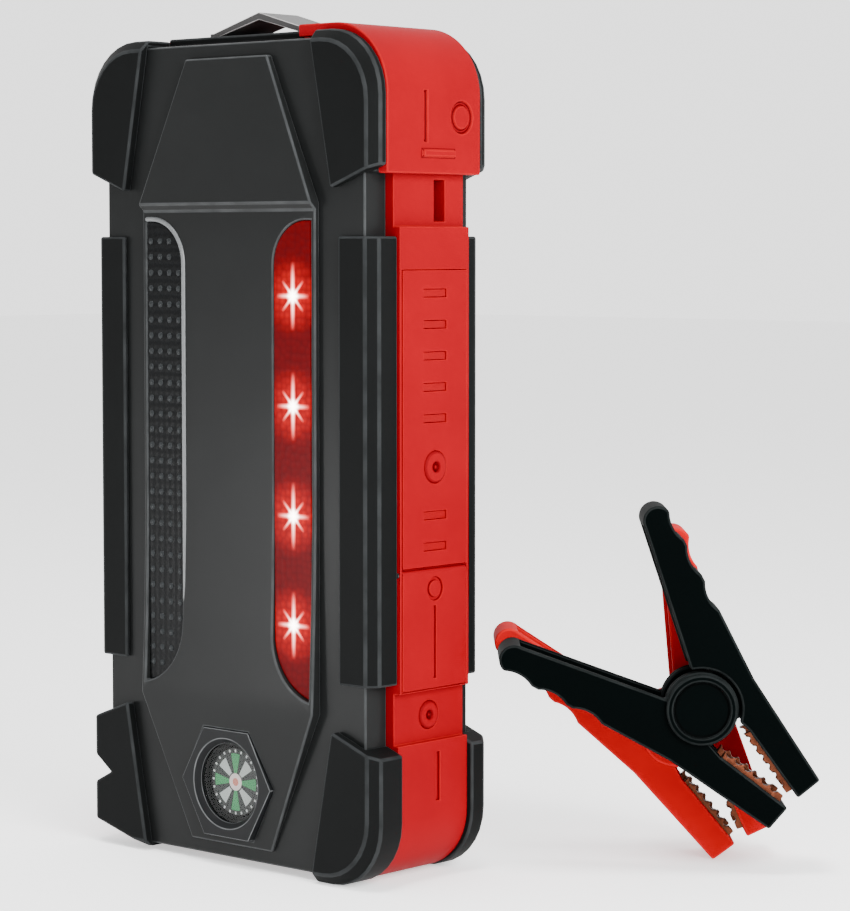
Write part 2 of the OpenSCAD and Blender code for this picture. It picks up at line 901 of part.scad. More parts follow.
// Bar and ring on the jump cover's side
module cover_marks() {
    box([half_w - mark_sink, mark_bar_y - mark_w, socket_z - mark_bar_h / 2],
        [half_w + fit, mark_bar_y, socket_z + mark_bar_h / 2]);
    side_ring(mark_ring_y, socket_z, half_w - mark_sink, mark_ring_r);
}

module jump_cover() {
    color(band_red) difference() {
        union() {
            slab(-cap_front, cap_rear) cap_outline();
            rod_y(hinge_x, hinge_z, -knuckle_half, knuckle_half, knuckle_r);
            box([half_w - mark_sink, -lip_half, cap_z + lip_z],
                [half_w + lip_out, lip_half, cap_z + lip_z + lip_t]);
        }
        ear_pair(knuckle_half) box([hinge_x - cap_t, 0, hinge_z - cap_t],
            [hinge_x + knuckle_r + 3 * fit, cap_front, hinge_z + cap_t]);
        rod_y(hinge_x, hinge_z, -cap_front, cap_front, hinge_pin_r + run);
        cover_marks();
    }
}

module jump_cover_pin() {
    color(steel) rod_y(hinge_x, hinge_z, -band_y, band_y, hinge_pin_r);
}

module at_contacts() {
    for (s = [-1, 1]) translate([0, 0, socket_z + s * contact_pitch / 2]) children();
}

module jump_socket() {
    color([0.1, 0.2, 0.5]) difference() {
        union() {
            box([socket_back, -socket_half_y, socket_z - socket_half_z],
                [socket_face, socket_half_y, socket_z + socket_half_z]);
            translate([0, 0, socket_z - socket_flange_low])
                box([socket_flange_x - socket_flange_t, -socket_flange_y, -socket_half_z],
                    [socket_flange_x, socket_flange_y, socket_half_z]);
        }
        at_contacts() rod_x(0, 0, socket_back - fit, socket_face + fit, contact_r + contact_wall + run);
    }
}

module jump_contacts() {
    color([0.85, 0.7, 0.35]) at_contacts() {
        difference() {
            rod_x(0, 0, socket_back, socket_face - fit, contact_r + contact_wall);
            rod_x(0, 0, socket_face - contact_len, socket_face + fit, contact_r);
        }
        box([socket_back - contact_tail, -contact_tail_t / 2, -bus_w / 2],
            [socket_back + 1, contact_tail_t / 2, bus_w / 2]);
    }
}

module bus_bars() {
    x1 = socket_back - contact_tail - fit;
    x0 = x1 - bus_w;
    low_z = socket_z - contact_pitch / 2;
    high_z = socket_z + contact_pitch / 2;
    color(copper) {
        box([x0, -bus_t / 2, cell_z1 + fit], [x1, bus_t / 2, low_z + bus_w / 2]);
        box([-x1, -bus_t / 2, high_z - bus_w / 2], [x1, bus_t / 2, high_z + bus_w / 2]);
        box([-x1, -bus_t / 2, cell_z1 + fit], [-x0, bus_t / 2, high_z]);
    }
}

// Row of light bars with the block that feeds them
module light_guide_core(z0, n, grow) {
    box([band_in_x - grow, -bar_w / 2 - 0.6 - grow, z0 - bar_t - grow],
        [cover_seat + (grow > 0 ? grow : -fit), bar_w / 2 + 0.6 + grow,
            z0 + (n - 1) * bar_step + bar_t + grow]);
}

module light_bars(z0, n, grow) {
    for (i = [0 : n - 1]) let (z = z0 + i * bar_step)
        box([cover_seat - 2 * fit, -bar_w / 2 - grow, z - bar_t / 2 - grow],
            [middle_x + (grow > 0 ? 1 : -0.1), bar_w / 2 + grow, z + bar_t / 2 + grow]);
}

module charge_light_guide() {
    color([0.8, 0.15, 0.18]) {
        light_guide_core(charge_z, charge_n, 0);
        light_bars(charge_z, charge_n, 0);
    }
}

module status_light_guide() {
    color([0.8, 0.15, 0.18]) {
        light_guide_core(status_z, status_n, 0);
        light_bars(status_z, status_n, 0);
    }
}

module control_panel() {
    color(band_red) difference() {
        box([cover_seat, -cover_half, control_z0], [middle_x + cover_proud, cover_half, control_z1]);
        light_bars(charge_z, charge_n, fit);
        light_bars(status_z, status_n, fit);
        rod_x(0, power_z, cover_seat - fit, half_w, power_r + fit);
    }
}

// Push button along X: a round head with a flange behind the panel and a dot on its face
module push_button(z, r, back, face) {
    difference() {
        union() {
            rod_x(0, z, back, face, r);
            rod_x(0, z, back, back + button_flange - fit, r + flange_over);
        }
        rod_x(0, z, face - 0.3, face + fit, r / 4);
    }
}

module power_button() {
    color(band_red) push_button(power_z, power_r, power_back, middle_x + cover_proud + button_proud);
}

module light_button() {
    color(band_red) push_button(light_z, light_r, light_back, band_x + button_proud);
}

module port_cover() {
    color(band_red) difference() {
        union() {
            box([cover_seat + fit, -cover_half, port_z0], [middle_x + fit, cover_half, port_axis_z]);
            rod_y(port_axis_x, port_axis_z, -cover_half, cover_half, port_knuckle);
        }
        rod_y(port_axis_x, port_axis_z, -band_y, band_y, hinge_pin_r + run);
        box([middle_x - mark_sink + fit, -mark_w / 2, port_z0 + 2],
            [half_w, mark_w / 2, port_z1 - port_ring_drop - port_ring_r - 1]);
        side_ring(0, port_z1 - port_ring_drop, middle_x - mark_sink + fit, port_ring_r);
    }
}

module port_cover_pin() {
    color(steel) rod_y(port_axis_x, port_axis_z, -band_y, band_y, hinge_pin_r);
}

module at_usb() {
    for (i = [0 : usb_n - 1]) translate([0, 0, usb_z0 + i * usb_pitch]) children();
}

module usb_sockets() {
    color(steel) at_usb() difference() {
        box([usb_face - usb_len, -usb_w / 2, -usb_h / 2], [usb_face, usb_w / 2, usb_h / 2]);
        box([usb_face - usb_len + 2, -usb_w / 2 + usb_wall, -usb_h / 2 + usb_wall],
            [usb_face + fit, usb_w / 2 - usb_wall, usb_h / 2 - usb_wall]);
    }
}

module usb_tongues() {
    color([0.9, 0.9, 0.9]) at_usb()
        box([usb_face - usb_len + 2, -usb_w / 2 + 1, 0.2], [usb_face - 1, usb_w / 2 - 1, 2]);
}

module control_board() {
    color([0.05, 0.3, 0.15]) difference() {
        box([board_x - board_t, -board_half, board_z0], [board_x, board_half, board_z1]);
        box([board_x - board_t - fit, -usb_w / 2 - fit, usb_z0 - usb_h / 2 - fit],
            [board_x + fit, usb_w / 2 + fit, usb_z0 + (usb_n - 1) * usb_pitch + usb_h / 2 + fit]);
    }
}

// Push switch on the control board, with its plunger just clear of a pressed button
module push_switch(z, button_back) {
    top = button_back - button_travel - fit;
    box([board_x, -switch_s / 2, z - switch_s / 2], [top - plunger_h, switch_s / 2, z + switch_s / 2]);
    rod_x(0, z, board_x, top, plunger_r);
}

module push_switches() {
    color([0.1, 0.1, 0.1]) {
        push_switch(power_z, power_back);
        push_switch(light_z, light_back);
    }
}

module battery_cells() {
    color([0.6, 0.62, 0.66]) for (i = [0 : cell_n - 1]) let (y = cell_y0 + i * (cell_t + fit))
        box([cell_x0, y, cell_z0], [cell_x1, y + cell_t, cell_z1]);
}

module battery_tray() {
    color([0.25, 0.25, 0.27])
        box([cell_x0 - tray_rim, tray_y, cell_z0 - tray_rim],
            [cell_x1 + tray_rim, tray_y + tray_t, cell_z1 + tray_rim]);
}

module battery_foam() {
    color([0.15, 0.15, 0.16]) for (y = [cell_y0 - foam_t - fit, cell_y1 + fit])
        box([cell_x0 + foam_in, y, cell_z0 + foam_in], [cell_x1 - foam_in, y + foam_t, cell_z1 - foam_in]);
}

// Plate on top of the band, open behind the bridge so that a cord can pass under it
module top_deck() {
    color(bumper_black) difference() {
        box([-deck_x0, -deck_y, band_top], [deck_x1, deck_y, deck_top]);
        box([-deck_gap_x, bridge_y0 - 0.6, band_top - fit], [deck_gap_x, band_y, deck_top + fit]);
    }
}

module carry_bridge() {
    top = deck_top + bridge_rise + bridge_t;
    foot_top = deck_top + bridge_t / 2;
    color([0.5, 0.49, 0.49]) slab(bridge_y0, bridge_y1) polygon([
        [-bridge_x - bridge_foot, deck_top], [-bridge_x - bridge_foot, foot_top],
        [-bridge_x - bridge_t, foot_top], [0, top], [bridge_x + bridge_t, foot_top],
        [bridge_x + bridge_foot, foot_top], [bridge_x + bridge_foot, deck_top],
        [bridge_x, deck_top], [0, deck_top + bridge_rise], [-bridge_x, deck_top]
    ]);
}

module case_screws() {
    color(steel) at_bosses() {
        rod_y(0, 0, rear_y - screw_sink - screw_len, rear_y - screw_sink + fit, screw_r);
        rod_y(0, 0, rear_y - screw_sink, rear_y - screw_sink + screw_head_t, screw_head_r);
    }
}

// Blade across the belt notch, with a hollow cutting edge
module blade_outline(grow) {
    polygon([
        [-shell_x - fit, notch_z0 - blade_over - grow], [-shell_x - fit, notch_z1 + blade_over + grow],
        [-shell_x - blade_w - grow, notch_z1 + blade_over + grow],
        [-shell_x - blade_w / 2 - grow, notch_tip_z],
        [-shell_x - blade_w - grow, notch_z0 - blade_over - grow]
    ]);
}

module belt_cutter() {
    color(steel) slab(-blade_y - blade_t / 2, -blade_y + blade_t / 2) difference() {
        blade_outline(0);
        shell_outline(-2 * fit);
    }
}

// Clamp levers are drawn with the pivot at the origin, the jaw along +X and the outside along +Z

// Inner face of a lever's back at a distance along the jaw
function back_in(s) = waist_o - lever_wall + (jaw_o - waist_o) * s / jaw_s;

// Inner face of a lever's back at a distance along the handle
function handle_in(s) = back_in(0) + (lever_off + tip_r - lever_wall - grip_cut - back_in(0)) * s / tip_s;

// Line of the tooth tips at a distance along the jaw
function tooth_o(s) = throat_o + (jaw_edge_o - throat_o) * (s - throat_s) / (jaw_s - throat_s) - tooth_show;

module lever_outline() {
    difference() {
        union() {
            polygon([
                [tip_s, lever_off + tip_r], [0, waist_o], [jaw_s - jaw_nose, jaw_o], [jaw_s, jaw_edge_o],
                [throat_s, throat_o], [root_s, root_o], [tip_s, lever_off - tip_r]
            ]);
            translate([tip_s, lever_off]) circle(tip_r);
        }
        for (i = [0 : grip_n - 1]) let (s = tip_s + grip_first + i * grip_pitch)
            translate([s, waist_o + (lever_off + tip_r - waist_o) * s / tip_s + grip_r - grip_cut])
                circle(grip_r);
    }
}

// Folded channel: two walls and a back
module lever_channel() {
    difference() {
        slab(-lever_w / 2, lever_w / 2) lever_outline();
        slab(-ear_out, ear_out) polygon([
            [tip_s, handle_in(tip_s)], [0, back_in(0)],
            [jaw_s - lever_wall, back_in(jaw_s - lever_wall)],
            [jaw_s - lever_wall, -2 * ear_r], [tip_s, -2 * ear_r]
        ]);
    }
}

module lower_lever() {
    mirror([0, 0, 1]) rotate([0, splay, 0]) difference() {
        union() {
            lever_channel();
            ear_pair(ear_out) rod_y(0, 0, 0, lever_wall, ear_r);
        }
        rod_y(0, 0, -lever_w, lever_w, pivot_r + fit / 5);
    }
}

module upper_lever() {
    rotate([0, splay, 0]) difference() {
        union() {
            difference() {
                lever_channel();
                rod_y(0, 0, -lever_w, lever_w, ear_r + ear_room);
            }
            ear_pair(ear_in) {
                rod_y(0, 0, 0, lever_wall, ear_r);
                box([-ear_r + 2, 0, 0], [ear_r - 2, lever_wall, back_in(0) + lever_wall / 2]);
            }
        }
        rod_y(0, 0, -lever_w, lever_w, pivot_r + run);
    }
}

// Folded jaw plate with a scalloped edge on both sides
module jaw() {
    rotate([0, splay, 0]) difference() {
        slab(-ear_out + jaw_fit, ear_out - jaw_fit) difference() {
            polygon([
                [jaw_s0, back_in(jaw_s0) - jaw_fit], [jaw_s1, back_in(jaw_s1) - jaw_fit],
                [jaw_s1, tooth_o(jaw_s1)], [jaw_s0, tooth_o(jaw_s0)]
            ]);
            for (i = [0 : tooth_n - 1]) let (s = jaw_s0 + (i + 0.5) * tooth_pitch)
                translate([s, tooth_o(s) - tooth_r / 3]) circle(tooth_r);
        }
        slab(-ear_out + jaw_fit + jaw_t, ear_out - jaw_fit - jaw_t) polygon([
            [jaw_s0 - 1, back_in(jaw_s0) - jaw_fit - jaw_t], [jaw_s1 + 1, back_in(jaw_s1) - jaw_fit - jaw_t],
            [jaw_s1 + 1, 0], [jaw_s0 - 1, 0]
        ]);
    }
}

module pivot_pin() {
    rod_y(0, 0, -lever_w / 2 - fit - disc_t / 2, lever_w / 2 + fit + disc_t / 2, pivot_r);
    ear_pair(lever_w / 2 + fit) difference() {
        rod_y(0, 0, 0, disc_t, disc_r);
        rod_y(0, 0, disc_t - disc_sink, disc_t + fit, disc_r - disc_rim);
    }
}

// Torsion spring: a leg on each lever's back, joined by the coil round the pin
leg_o = handle_in(leg_s) - wire_r - 2 * fit;
leg_end = [leg_s * cos(splay) + leg_o * sin(splay), -leg_s * sin(splay) + leg_o * cos(splay)];
leg_angle = atan2(leg_end[1], leg_end[0]) - acos(coil_r / norm(leg_end));
coil_sweep = 2 * leg_angle + 360 * coil_turns;
coil_steps = ceil(coil_sweep / 45);
coil_half = coil_pitch * coil_sweep / 720;
coil_points = [for (i = [0 : coil_steps]) let (a = -leg_angle + coil_sweep * i / coil_steps)
    [coil_r * cos(a), -coil_half + 2 * coil_half * i / coil_steps, coil_r * sin(a)]];
spring_points = concat([[leg_end[0], -coil_half, -leg_end[1]]], coil_points,
    [[leg_end[0], coil_half, leg_end[1]]]);
spring_gap = min([for (i = [0 : coil_steps], j = [0 : coil_steps]) if (j > i + 4)
    norm(coil_points[i] - coil_points[j])]) - 2 * wire_r;
echo(least_spring_gap = spring_gap);

function unit(v) = v / norm(v);

// Six-sided tube along a list of points that winds about Y
module tube(points, r) {
    sides = 6;
    last = len(points) - 1;
    rings = [for (i = [0 : last])
        let (t = unit(points[min(i + 1, last)] - points[max(i - 1, 0)]),
            n = unit(cross(t, [0, 1, 0])), b = cross(t, n))
        for (k = [0 : sides - 1]) points[i] + r * (n * cos(360 * k / sides) + b * sin(360 * k / sides))];
    walls = [for (i = [0 : last - 1], k = [0 : sides - 1])
        let (a = i * sides + k, b = i * sides + (k + 1) % sides)
        each [[a, a + sides, b], [b, a + sides, b + sides]]];
    end = last * sides;
    caps = [for (k = [1 : sides - 2]) each [[0, k, k + 1], [end, end + k + 1, end + k]]];
    polyhedron(rings, concat(walls, caps));
}

// Outer corner of the lower jaw, which a clamp stands on
tip_x = (jaw_s - jaw_nose) * cos(splay) + jaw_o * sin(splay);
tip_z = -(jaw_s - jaw_nose) * sin(splay) + jaw_o * cos(splay);

module stand(pivot, tilt, lift = 0) {
    translate([pivot[0], pivot[1], lift + tip_x * sin(tilt) + tip_z * cos(tilt)])
        rotate([0, 0, clamp_yaw]) rotate([0, tilt, 0]) children();
}

module black_upper_lever() {
    color(clamp_black) stand(black_pivot, black_tilt, black_lift) upper_lever();
}

module black_lower_lever() {
    color(clamp_black) stand(black_pivot, black_tilt, black_lift) lower_lever();
}

module black_upper_jaw() {
    color(copper) stand(black_pivot, black_tilt, black_lift) jaw();
}

module black_lower_jaw() {
    color(copper) stand(black_pivot, black_tilt, black_lift) mirror([0, 0, 1]) jaw();
}

module black_pivot_pin() {
    color(clamp_black) stand(black_pivot, black_tilt, black_lift) pivot_pin();
}

module black_spring() {
    color(steel) stand(black_pivot, black_tilt, black_lift) tube(spring_points, wire_r);
}

module red_upper_lever() {
    color(clamp_red) stand(red_pivot, red_tilt) upper_lever();
}

module red_lower_lever() {
    color(clamp_red) stand(red_pivot, red_tilt) lower_lever();
}

module red_upper_jaw() {
    color(copper) stand(red_pivot, red_tilt) jaw();
}

module red_lower_jaw() {
    color(copper) stand(red_pivot, red_tilt) mirror([0, 0, 1]) jaw();
}

module red_pivot_pin() {
    color(clamp_red) stand(red_pivot, red_tilt) pivot_pin();
}

module red_spring() {
    color(steel) stand(red_pivot, red_tilt) tube(spring_points, wire_r);
}

front_shell();
front_panel();
rear_shell();
mid_frame();
bumper_top_left();
bumper_top_right();
bumper_bottom_left();
bumper_bottom_right();
rear_bumpers();
front_side_pads();
rear_side_pads();
front_seal();
rear_seal();
lens_left();
lens_right();
led_board_left();
led_board_right();
leds_left();
leds_right();
compass_bezel();
compass_cup();
compass_card();
compass_needle();
compass_glass();
jump_cover();
jump_cover_pin();
jump_socket();
jump_contacts();
control_panel();
power_button();
light_button();
charge_light_guide();
status_light_guide();
port_cover();
port_cover_pin();
usb_sockets();
usb_tongues();
control_board();
push_switches();
battery_cells();
battery_tray();
battery_foam();
bus_bars();
top_deck();
carry_bridge();
case_screws();
belt_cutter();
black_upper_lever();
black_lower_lever();
black_upper_jaw();
black_lower_jaw();
black_pivot_pin();
black_spring();
red_upper_lever();
red_lower_lever();
red_upper_jaw();
red_lower_jaw();
red_pivot_pin();
red_spring();
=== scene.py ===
"""Finishes, light strips, compass and clamps of a jump starter pack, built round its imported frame."""

import json
import math

import bmesh
import bpy
from mathutils import Matrix, Vector
from mathutils.bvhtree import BVHTree


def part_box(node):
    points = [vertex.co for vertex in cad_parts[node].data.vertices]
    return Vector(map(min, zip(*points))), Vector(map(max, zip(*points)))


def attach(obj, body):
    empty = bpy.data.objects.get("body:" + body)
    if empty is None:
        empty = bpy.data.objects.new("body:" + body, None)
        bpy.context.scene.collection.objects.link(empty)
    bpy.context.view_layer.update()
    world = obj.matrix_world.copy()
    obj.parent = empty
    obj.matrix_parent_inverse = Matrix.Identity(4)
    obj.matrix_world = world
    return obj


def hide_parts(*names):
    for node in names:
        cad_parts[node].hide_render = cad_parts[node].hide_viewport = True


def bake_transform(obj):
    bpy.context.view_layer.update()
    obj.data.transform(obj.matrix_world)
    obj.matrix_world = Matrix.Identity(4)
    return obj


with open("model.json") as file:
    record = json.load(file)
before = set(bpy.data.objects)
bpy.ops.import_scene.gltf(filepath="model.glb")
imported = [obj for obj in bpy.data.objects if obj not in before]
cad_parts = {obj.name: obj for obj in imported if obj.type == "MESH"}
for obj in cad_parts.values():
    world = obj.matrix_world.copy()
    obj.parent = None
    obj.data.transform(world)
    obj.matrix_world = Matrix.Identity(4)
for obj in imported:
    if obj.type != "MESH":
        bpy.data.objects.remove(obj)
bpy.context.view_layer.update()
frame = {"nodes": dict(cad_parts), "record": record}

bl_info = {
    "name": "Jump Starter Pack",
    "version": (1, 0, 0),
    "blender": (4, 5, 0),
    "location": "View3D > Sidebar > Jump Starter",
    "description": "Dresses the frame of a jump starter pack and sets its stage",
    "category": "Object",
}

MM = 0.001
NODES = frame["nodes"]
BODY_OF = {
    node: body
    for body, nodes in frame["record"]["behaviour"]["bodies"].items()
    for node in nodes
}
SLOT_OF = {part["node"]: part["material_slot"] for part in frame["record"]["subparts"]}

# Points closer than this are one point, and faces within this angle are one flat face
MERGE = 0.002 * MM
FLAT = math.radians(0.6)
# Edges sharper than this are rounded, and what is then still sharper stays a crease
ROUND_FROM = math.radians(28)
CREASE = math.radians(42)
# The panel bends by more than this at its sill, and by less along the sweep above it
SILL_FOLD = math.radians(3)
# Rays that look for walls round a face to paint shade on it, how far they look and where they start
SHADE_RAYS = 8
SHADE_REACH = 0.9 * MM
SHADE_LIFT = 0.01 * MM
# The cross in a screw's head: its reach, half the width of its slots, its depth and its taper
DRIVE_ARM = 1.7 * MM
DRIVE_HALF = 0.42 * MM
DRIVE_DEPTH = 1.0 * MM
DRIVE_TAPER = 0.7
# A prism dot needs lens under it as far out as this many of its radii. The rays that look for the lens
# start this far in front of its face and end this far behind it
DOT_ROOM = 1.5
DOT_PROBE = 5 * MM
DOT_SINK = 0.1 * MM
# A face whose normal has at least this share along an axis counts as facing that way
FACING = 0.99

# The photograph's frame and viewpoint
PHOTO_W = 850
PHOTO_H = 911
FOCAL_PX = 3000
SENSOR = 36
VIEW_AZIMUTH = math.radians(41.8)
VIEW_ELEVATION = math.radians(4.0)
VIEW_DISTANCE = 662.25 * MM
VIEW_SIDE = 30 * MM
VIEW_HEIGHT = 88.824 * MM
# Brightness of the lit backdrop and of the dim room on the camera's side, and the cosines of the angles
# to the line of sight between which one turns into the other
BACKDROP = 2.2
ROOM = 0.92
DIM_UP_TO = -0.2
LIT_FROM = 0.6
# The floor's own glow, and half its side in metres
FLOOR_GLOW = 0.75
FLOOR_HALF = 4.0


def toward(azimuth, elevation):
    """Unit vector that way from the pack, with azimuth 0 in front and a quarter turn on its red side."""
    level = math.cos(elevation)
    return Vector((math.sin(azimuth) * level, -math.cos(azimuth) * level, math.sin(elevation)))


def linear(code):
    """Linear RGB of an sRGB hex colour."""
    parts = [int(code[i : i + 2], 16) / 255 for i in (0, 2, 4)]
    return tuple(c / 12.92 if c <= 0.04045 else ((c + 0.055) / 1.055) ** 2.4 for c in parts)


def rgba(colour, gain=1.0):
    """A colour with an alpha of 1, made darker or lighter by a factor."""
    return (*(min(1.0, c * gain) for c in colour), 1.0)


def colour(name, description, code):
    """A colour property from an sRGB hex colour."""
    return bpy.props.FloatVectorProperty(
        name=name, description=description, subtype="COLOR", size=3, min=0, max=1,
        default=linear(code),
    )


def length(name, description, mm):
    """A length property from millimetres."""
    return bpy.props.FloatProperty(
        name=name, description=description, subtype="DISTANCE", unit="LENGTH", min=0,
        default=mm * MM, precision=5,
    )


class JumpStarterColours(bpy.types.PropertyGroup):
    """Colours of the finishes."""

    case: colour("Case", "Moulded shells and the front panel", "171818")
    bumper: colour("Bumpers", "Corner bumpers and side pads", "0d0e0e")
    band: colour("Band", "Red middle frame, covers and buttons", "7c000c")
    clamp_black: colour("Black clamp", "Levers of the black clamp", "010303")
    clamp_red: colour("Red clamp", "Levers of the red clamp", "a4000c")
    bridge: colour("Carry bridge", "Folded strip on top", "3a3939")
    lens_red: colour("Red lens", "Tinted lens of the right light strip", "400004")
    lens_smoke: colour("Smoked lens", "Tinted lens of the left light strip", "0a0b0c")
    # The dots' grey is a painted glint of their prisms
    dots: colour("Lens dots", "Prism dots of the smoked lens", "242627")
    bead: colour("Lens bead", "Bead round the smoked lens", "5c5e5f")
    glow: colour("Glow", "Light of the right strip in its lens", "ff0404")
    card: colour("Compass marks", "Green marks of the compass card", "2fa05a")
    floor: colour("Floor", "Studio floor", "f4f4f4")


class JumpStarterSizes(bpy.types.PropertyGroup):
    """Sizes of what the finishes add to the frame."""

    case_edge: length("Case edge", "Rounding of the shells' edges", 0.4)
    bumper_edge: length("Bumper edge", "Rounding of the bumpers' edges", 0.5)
    band_edge: length("Band edge", "Rounding of the jump cover's and the lenses' edges", 0.35)
    frame_edge: length("Frame edge", "Rounding of the red middle frame's edges", 0.2)
    clamp_edge: length("Clamp edge", "Rounding of the levers' edges", 0.5)
    small_edge: length("Small edge", "Rounding of small pieces' edges", 0.15)
    button_edge: length("Button edge", "Rounding of the buttons' rims", 0.5)
    cell_edge: length("Cell edge", "Rounding of the pouch cells", 1.2)
    dot_r: length("Dot radius", "Radius of a prism dot on the smoked lens", 0.75)
    dot_rise: length("Dot rise", "How far a prism dot stands out", 0.3)
    dot_pitch_x: length("Dot pitch across", "Spacing of the dots across the lens", 2.9)
    dot_pitch_z: length("Dot pitch along", "Spacing of the dots along the lens", 3.45)
    rim_r: length("Lens rim", "Radius of the bead along the smoked lens", 0.55)


def add(tree, kind, links=None, **settings):
    """Adds a node with its settings, and sets its inputs to values or links them to sockets."""
    node = tree.nodes.new(kind)
    for name, value in settings.items():
        setattr(node, name, value)
    for name, value in (links or {}).items():
        if isinstance(value, bpy.types.NodeSocket):
            tree.links.new(value, node.inputs[name])
        else:
            node.inputs[name].default_value = value
    return node


def link(tree, shader, **sockets):
    """Links sockets to a shader's inputs, with _ for a space in the input's name."""
    for name, socket in sockets.items():
        tree.links.new(socket, shader.inputs[name.replace("_", " ")])


def start(name, **values):
    """A new material, its tree and its principled shader with these values set."""
    material = bpy.data.materials.new(name)
    material.use_nodes = True
    tree = material.node_tree
    tree.nodes.clear()
    values = {key.replace("_", " "): value for key, value in values.items()}
    shader = add(tree, "ShaderNodeBsdfPrincipled", values)
    add(tree, "ShaderNodeOutputMaterial", {"Surface": shader.outputs["BSDF"]})
    return material, tree, shader


def moulded(name, base, wear_and_painted_light, roughness, grain, depth, ior=1.53, gloss=0.1):
    """Moulded plastic or rubber: tool grain, uneven tone, pale edges of wear and painted highlight, and
    painted shade.
    """
    cloud_size, rub_size = 17 * MM, 5 * MM
    # The first two bound the random tone; the last darkens the base colour where shade is painted in
    # hollows and creases
    darker, paler, hollow_shade = 0.84, 1.16, 0.38
    uneven = 0.06
    material, tree, shader = start(name, IOR=ior, Specular_IOR_Level=gloss)
    place = add(tree, "ShaderNodeTexCoord").outputs["Object"]
    cloud = add(tree, "ShaderNodeTexNoise", {"Vector": place, "Scale": 1 / cloud_size, "Detail": 3.0})
    speck = add(tree, "ShaderNodeTexNoise", {"Vector": place, "Scale": 1 / grain, "Detail": 2.0})
    rub = add(tree, "ShaderNodeTexNoise", {"Vector": place, "Scale": 1 / rub_size, "Detail": 4.0})
    # The edge layer holds painted light: above 0 pale edges of wear and painted highlight, below 0 painted
    # shade
    edge = add(tree, "ShaderNodeAttribute", attribute_name="edge")
    tone = add(
        tree, "ShaderNodeMix",
        {0: cloud.outputs["Fac"], 6: rgba(base, darker), 7: rgba(base, paler)}, data_type="RGBA",
    )
    # Pale edges, partly wear and partly a painted highlight, broken up by noise
    edge_wear_and_light = add(
        tree, "ShaderNodeMath", {0: edge.outputs["Fac"], 1: rub.outputs["Fac"]}, operation="MULTIPLY",
        use_clamp=True,
    )
    # Painted shade where the edge layer is below 0
    painted_shade = add(
        tree, "ShaderNodeMath", {0: edge.outputs["Fac"], 1: -1.0}, operation="MULTIPLY", use_clamp=True
    )
    rubbed_and_highlit = add(
        tree, "ShaderNodeMix",
        {0: edge_wear_and_light.outputs[0], 6: tone.outputs[2], 7: rgba(wear_and_painted_light)}, data_type="RGBA",
    )
    paint = add(
        tree, "ShaderNodeMix",
        {0: painted_shade.outputs[0], 6: rubbed_and_highlit.outputs[2], 7: rgba(base, hollow_shade)}, data_type="RGBA",
    )
    polish = add(
        tree, "ShaderNodeMapRange",
        {"Value": speck.outputs["Fac"], "To Min": roughness - uneven, "To Max": roughness + uneven},
    )
    relief = add(
        tree, "ShaderNodeBump", {"Height": speck.outputs["Fac"], "Distance": depth, "Strength": 0.6}
    )
    link(
        tree, shader, Base_Color=paint.outputs[2], Roughness=polish.outputs[0],
        Normal=relief.outputs[0],
    )
    return material


def metal(name, base, dull, roughness, stretch):
    """Bare metal: fine drawn scratches along one axis and dull patches."""
    scratch_size, scratch_depth, patch_size = 0.3 * MM, 0.006 * MM, 4 * MM
    uneven = 0.1
    material, tree, shader = start(name, Metallic=1.0)
    place = add(tree, "ShaderNodeTexCoord").outputs["Object"]
    lay = add(tree, "ShaderNodeMapping", {"Vector": place, "Scale": stretch})
    drawn = add(
        tree, "ShaderNodeTexNoise", {"Vector": lay.outputs[0], "Scale": 1 / scratch_size, "Detail": 3.0}
    )
    patch = add(tree, "ShaderNodeTexNoise", {"Vector": place, "Scale": 1 / patch_size, "Detail": 4.0})
    tone = add(
        tree, "ShaderNodeMix",
        {0: patch.outputs["Fac"], 6: rgba(base), 7: rgba(dull)}, data_type="RGBA",
    )
    polish = add(
        tree, "ShaderNodeMapRange",
        {"Value": drawn.outputs["Fac"], "To Min": roughness - uneven, "To Max": roughness + uneven},
    )
    relief = add(
        tree, "ShaderNodeBump",
        {"Height": drawn.outputs["Fac"], "Distance": scratch_depth, "Strength": 0.5},
    )
    link(
        tree, shader, Base_Color=tone.outputs[2], Roughness=polish.outputs[0],
        Normal=relief.outputs[0],
    )
    return material


def island_centres(node):
    """Centres of a CAD node's separate solids, from the lowest up."""
    mesh = bmesh.new()
    mesh.from_mesh(NODES[node].data)
    bmesh.ops.remove_doubles(mesh, verts=mesh.verts, dist=MERGE)
    left, centres = set(mesh.verts), []
    while left:
        reach, solid = [left.pop()], []
        while reach:
            vert = reach.pop()
            solid.append(vert.co.copy())
            near = {e.other_vert(vert) for e in vert.link_edges} & left
            left -= near
            reach.extend(near)
        lows = [min(p[i] for p in solid) for i in range(3)]
        highs = [max(p[i] for p in solid) for i in range(3)]
        centres.append((Vector(lows) + Vector(highs)) / 2)
    mesh.free()
    return sorted(centres, key=lambda c: c.z)


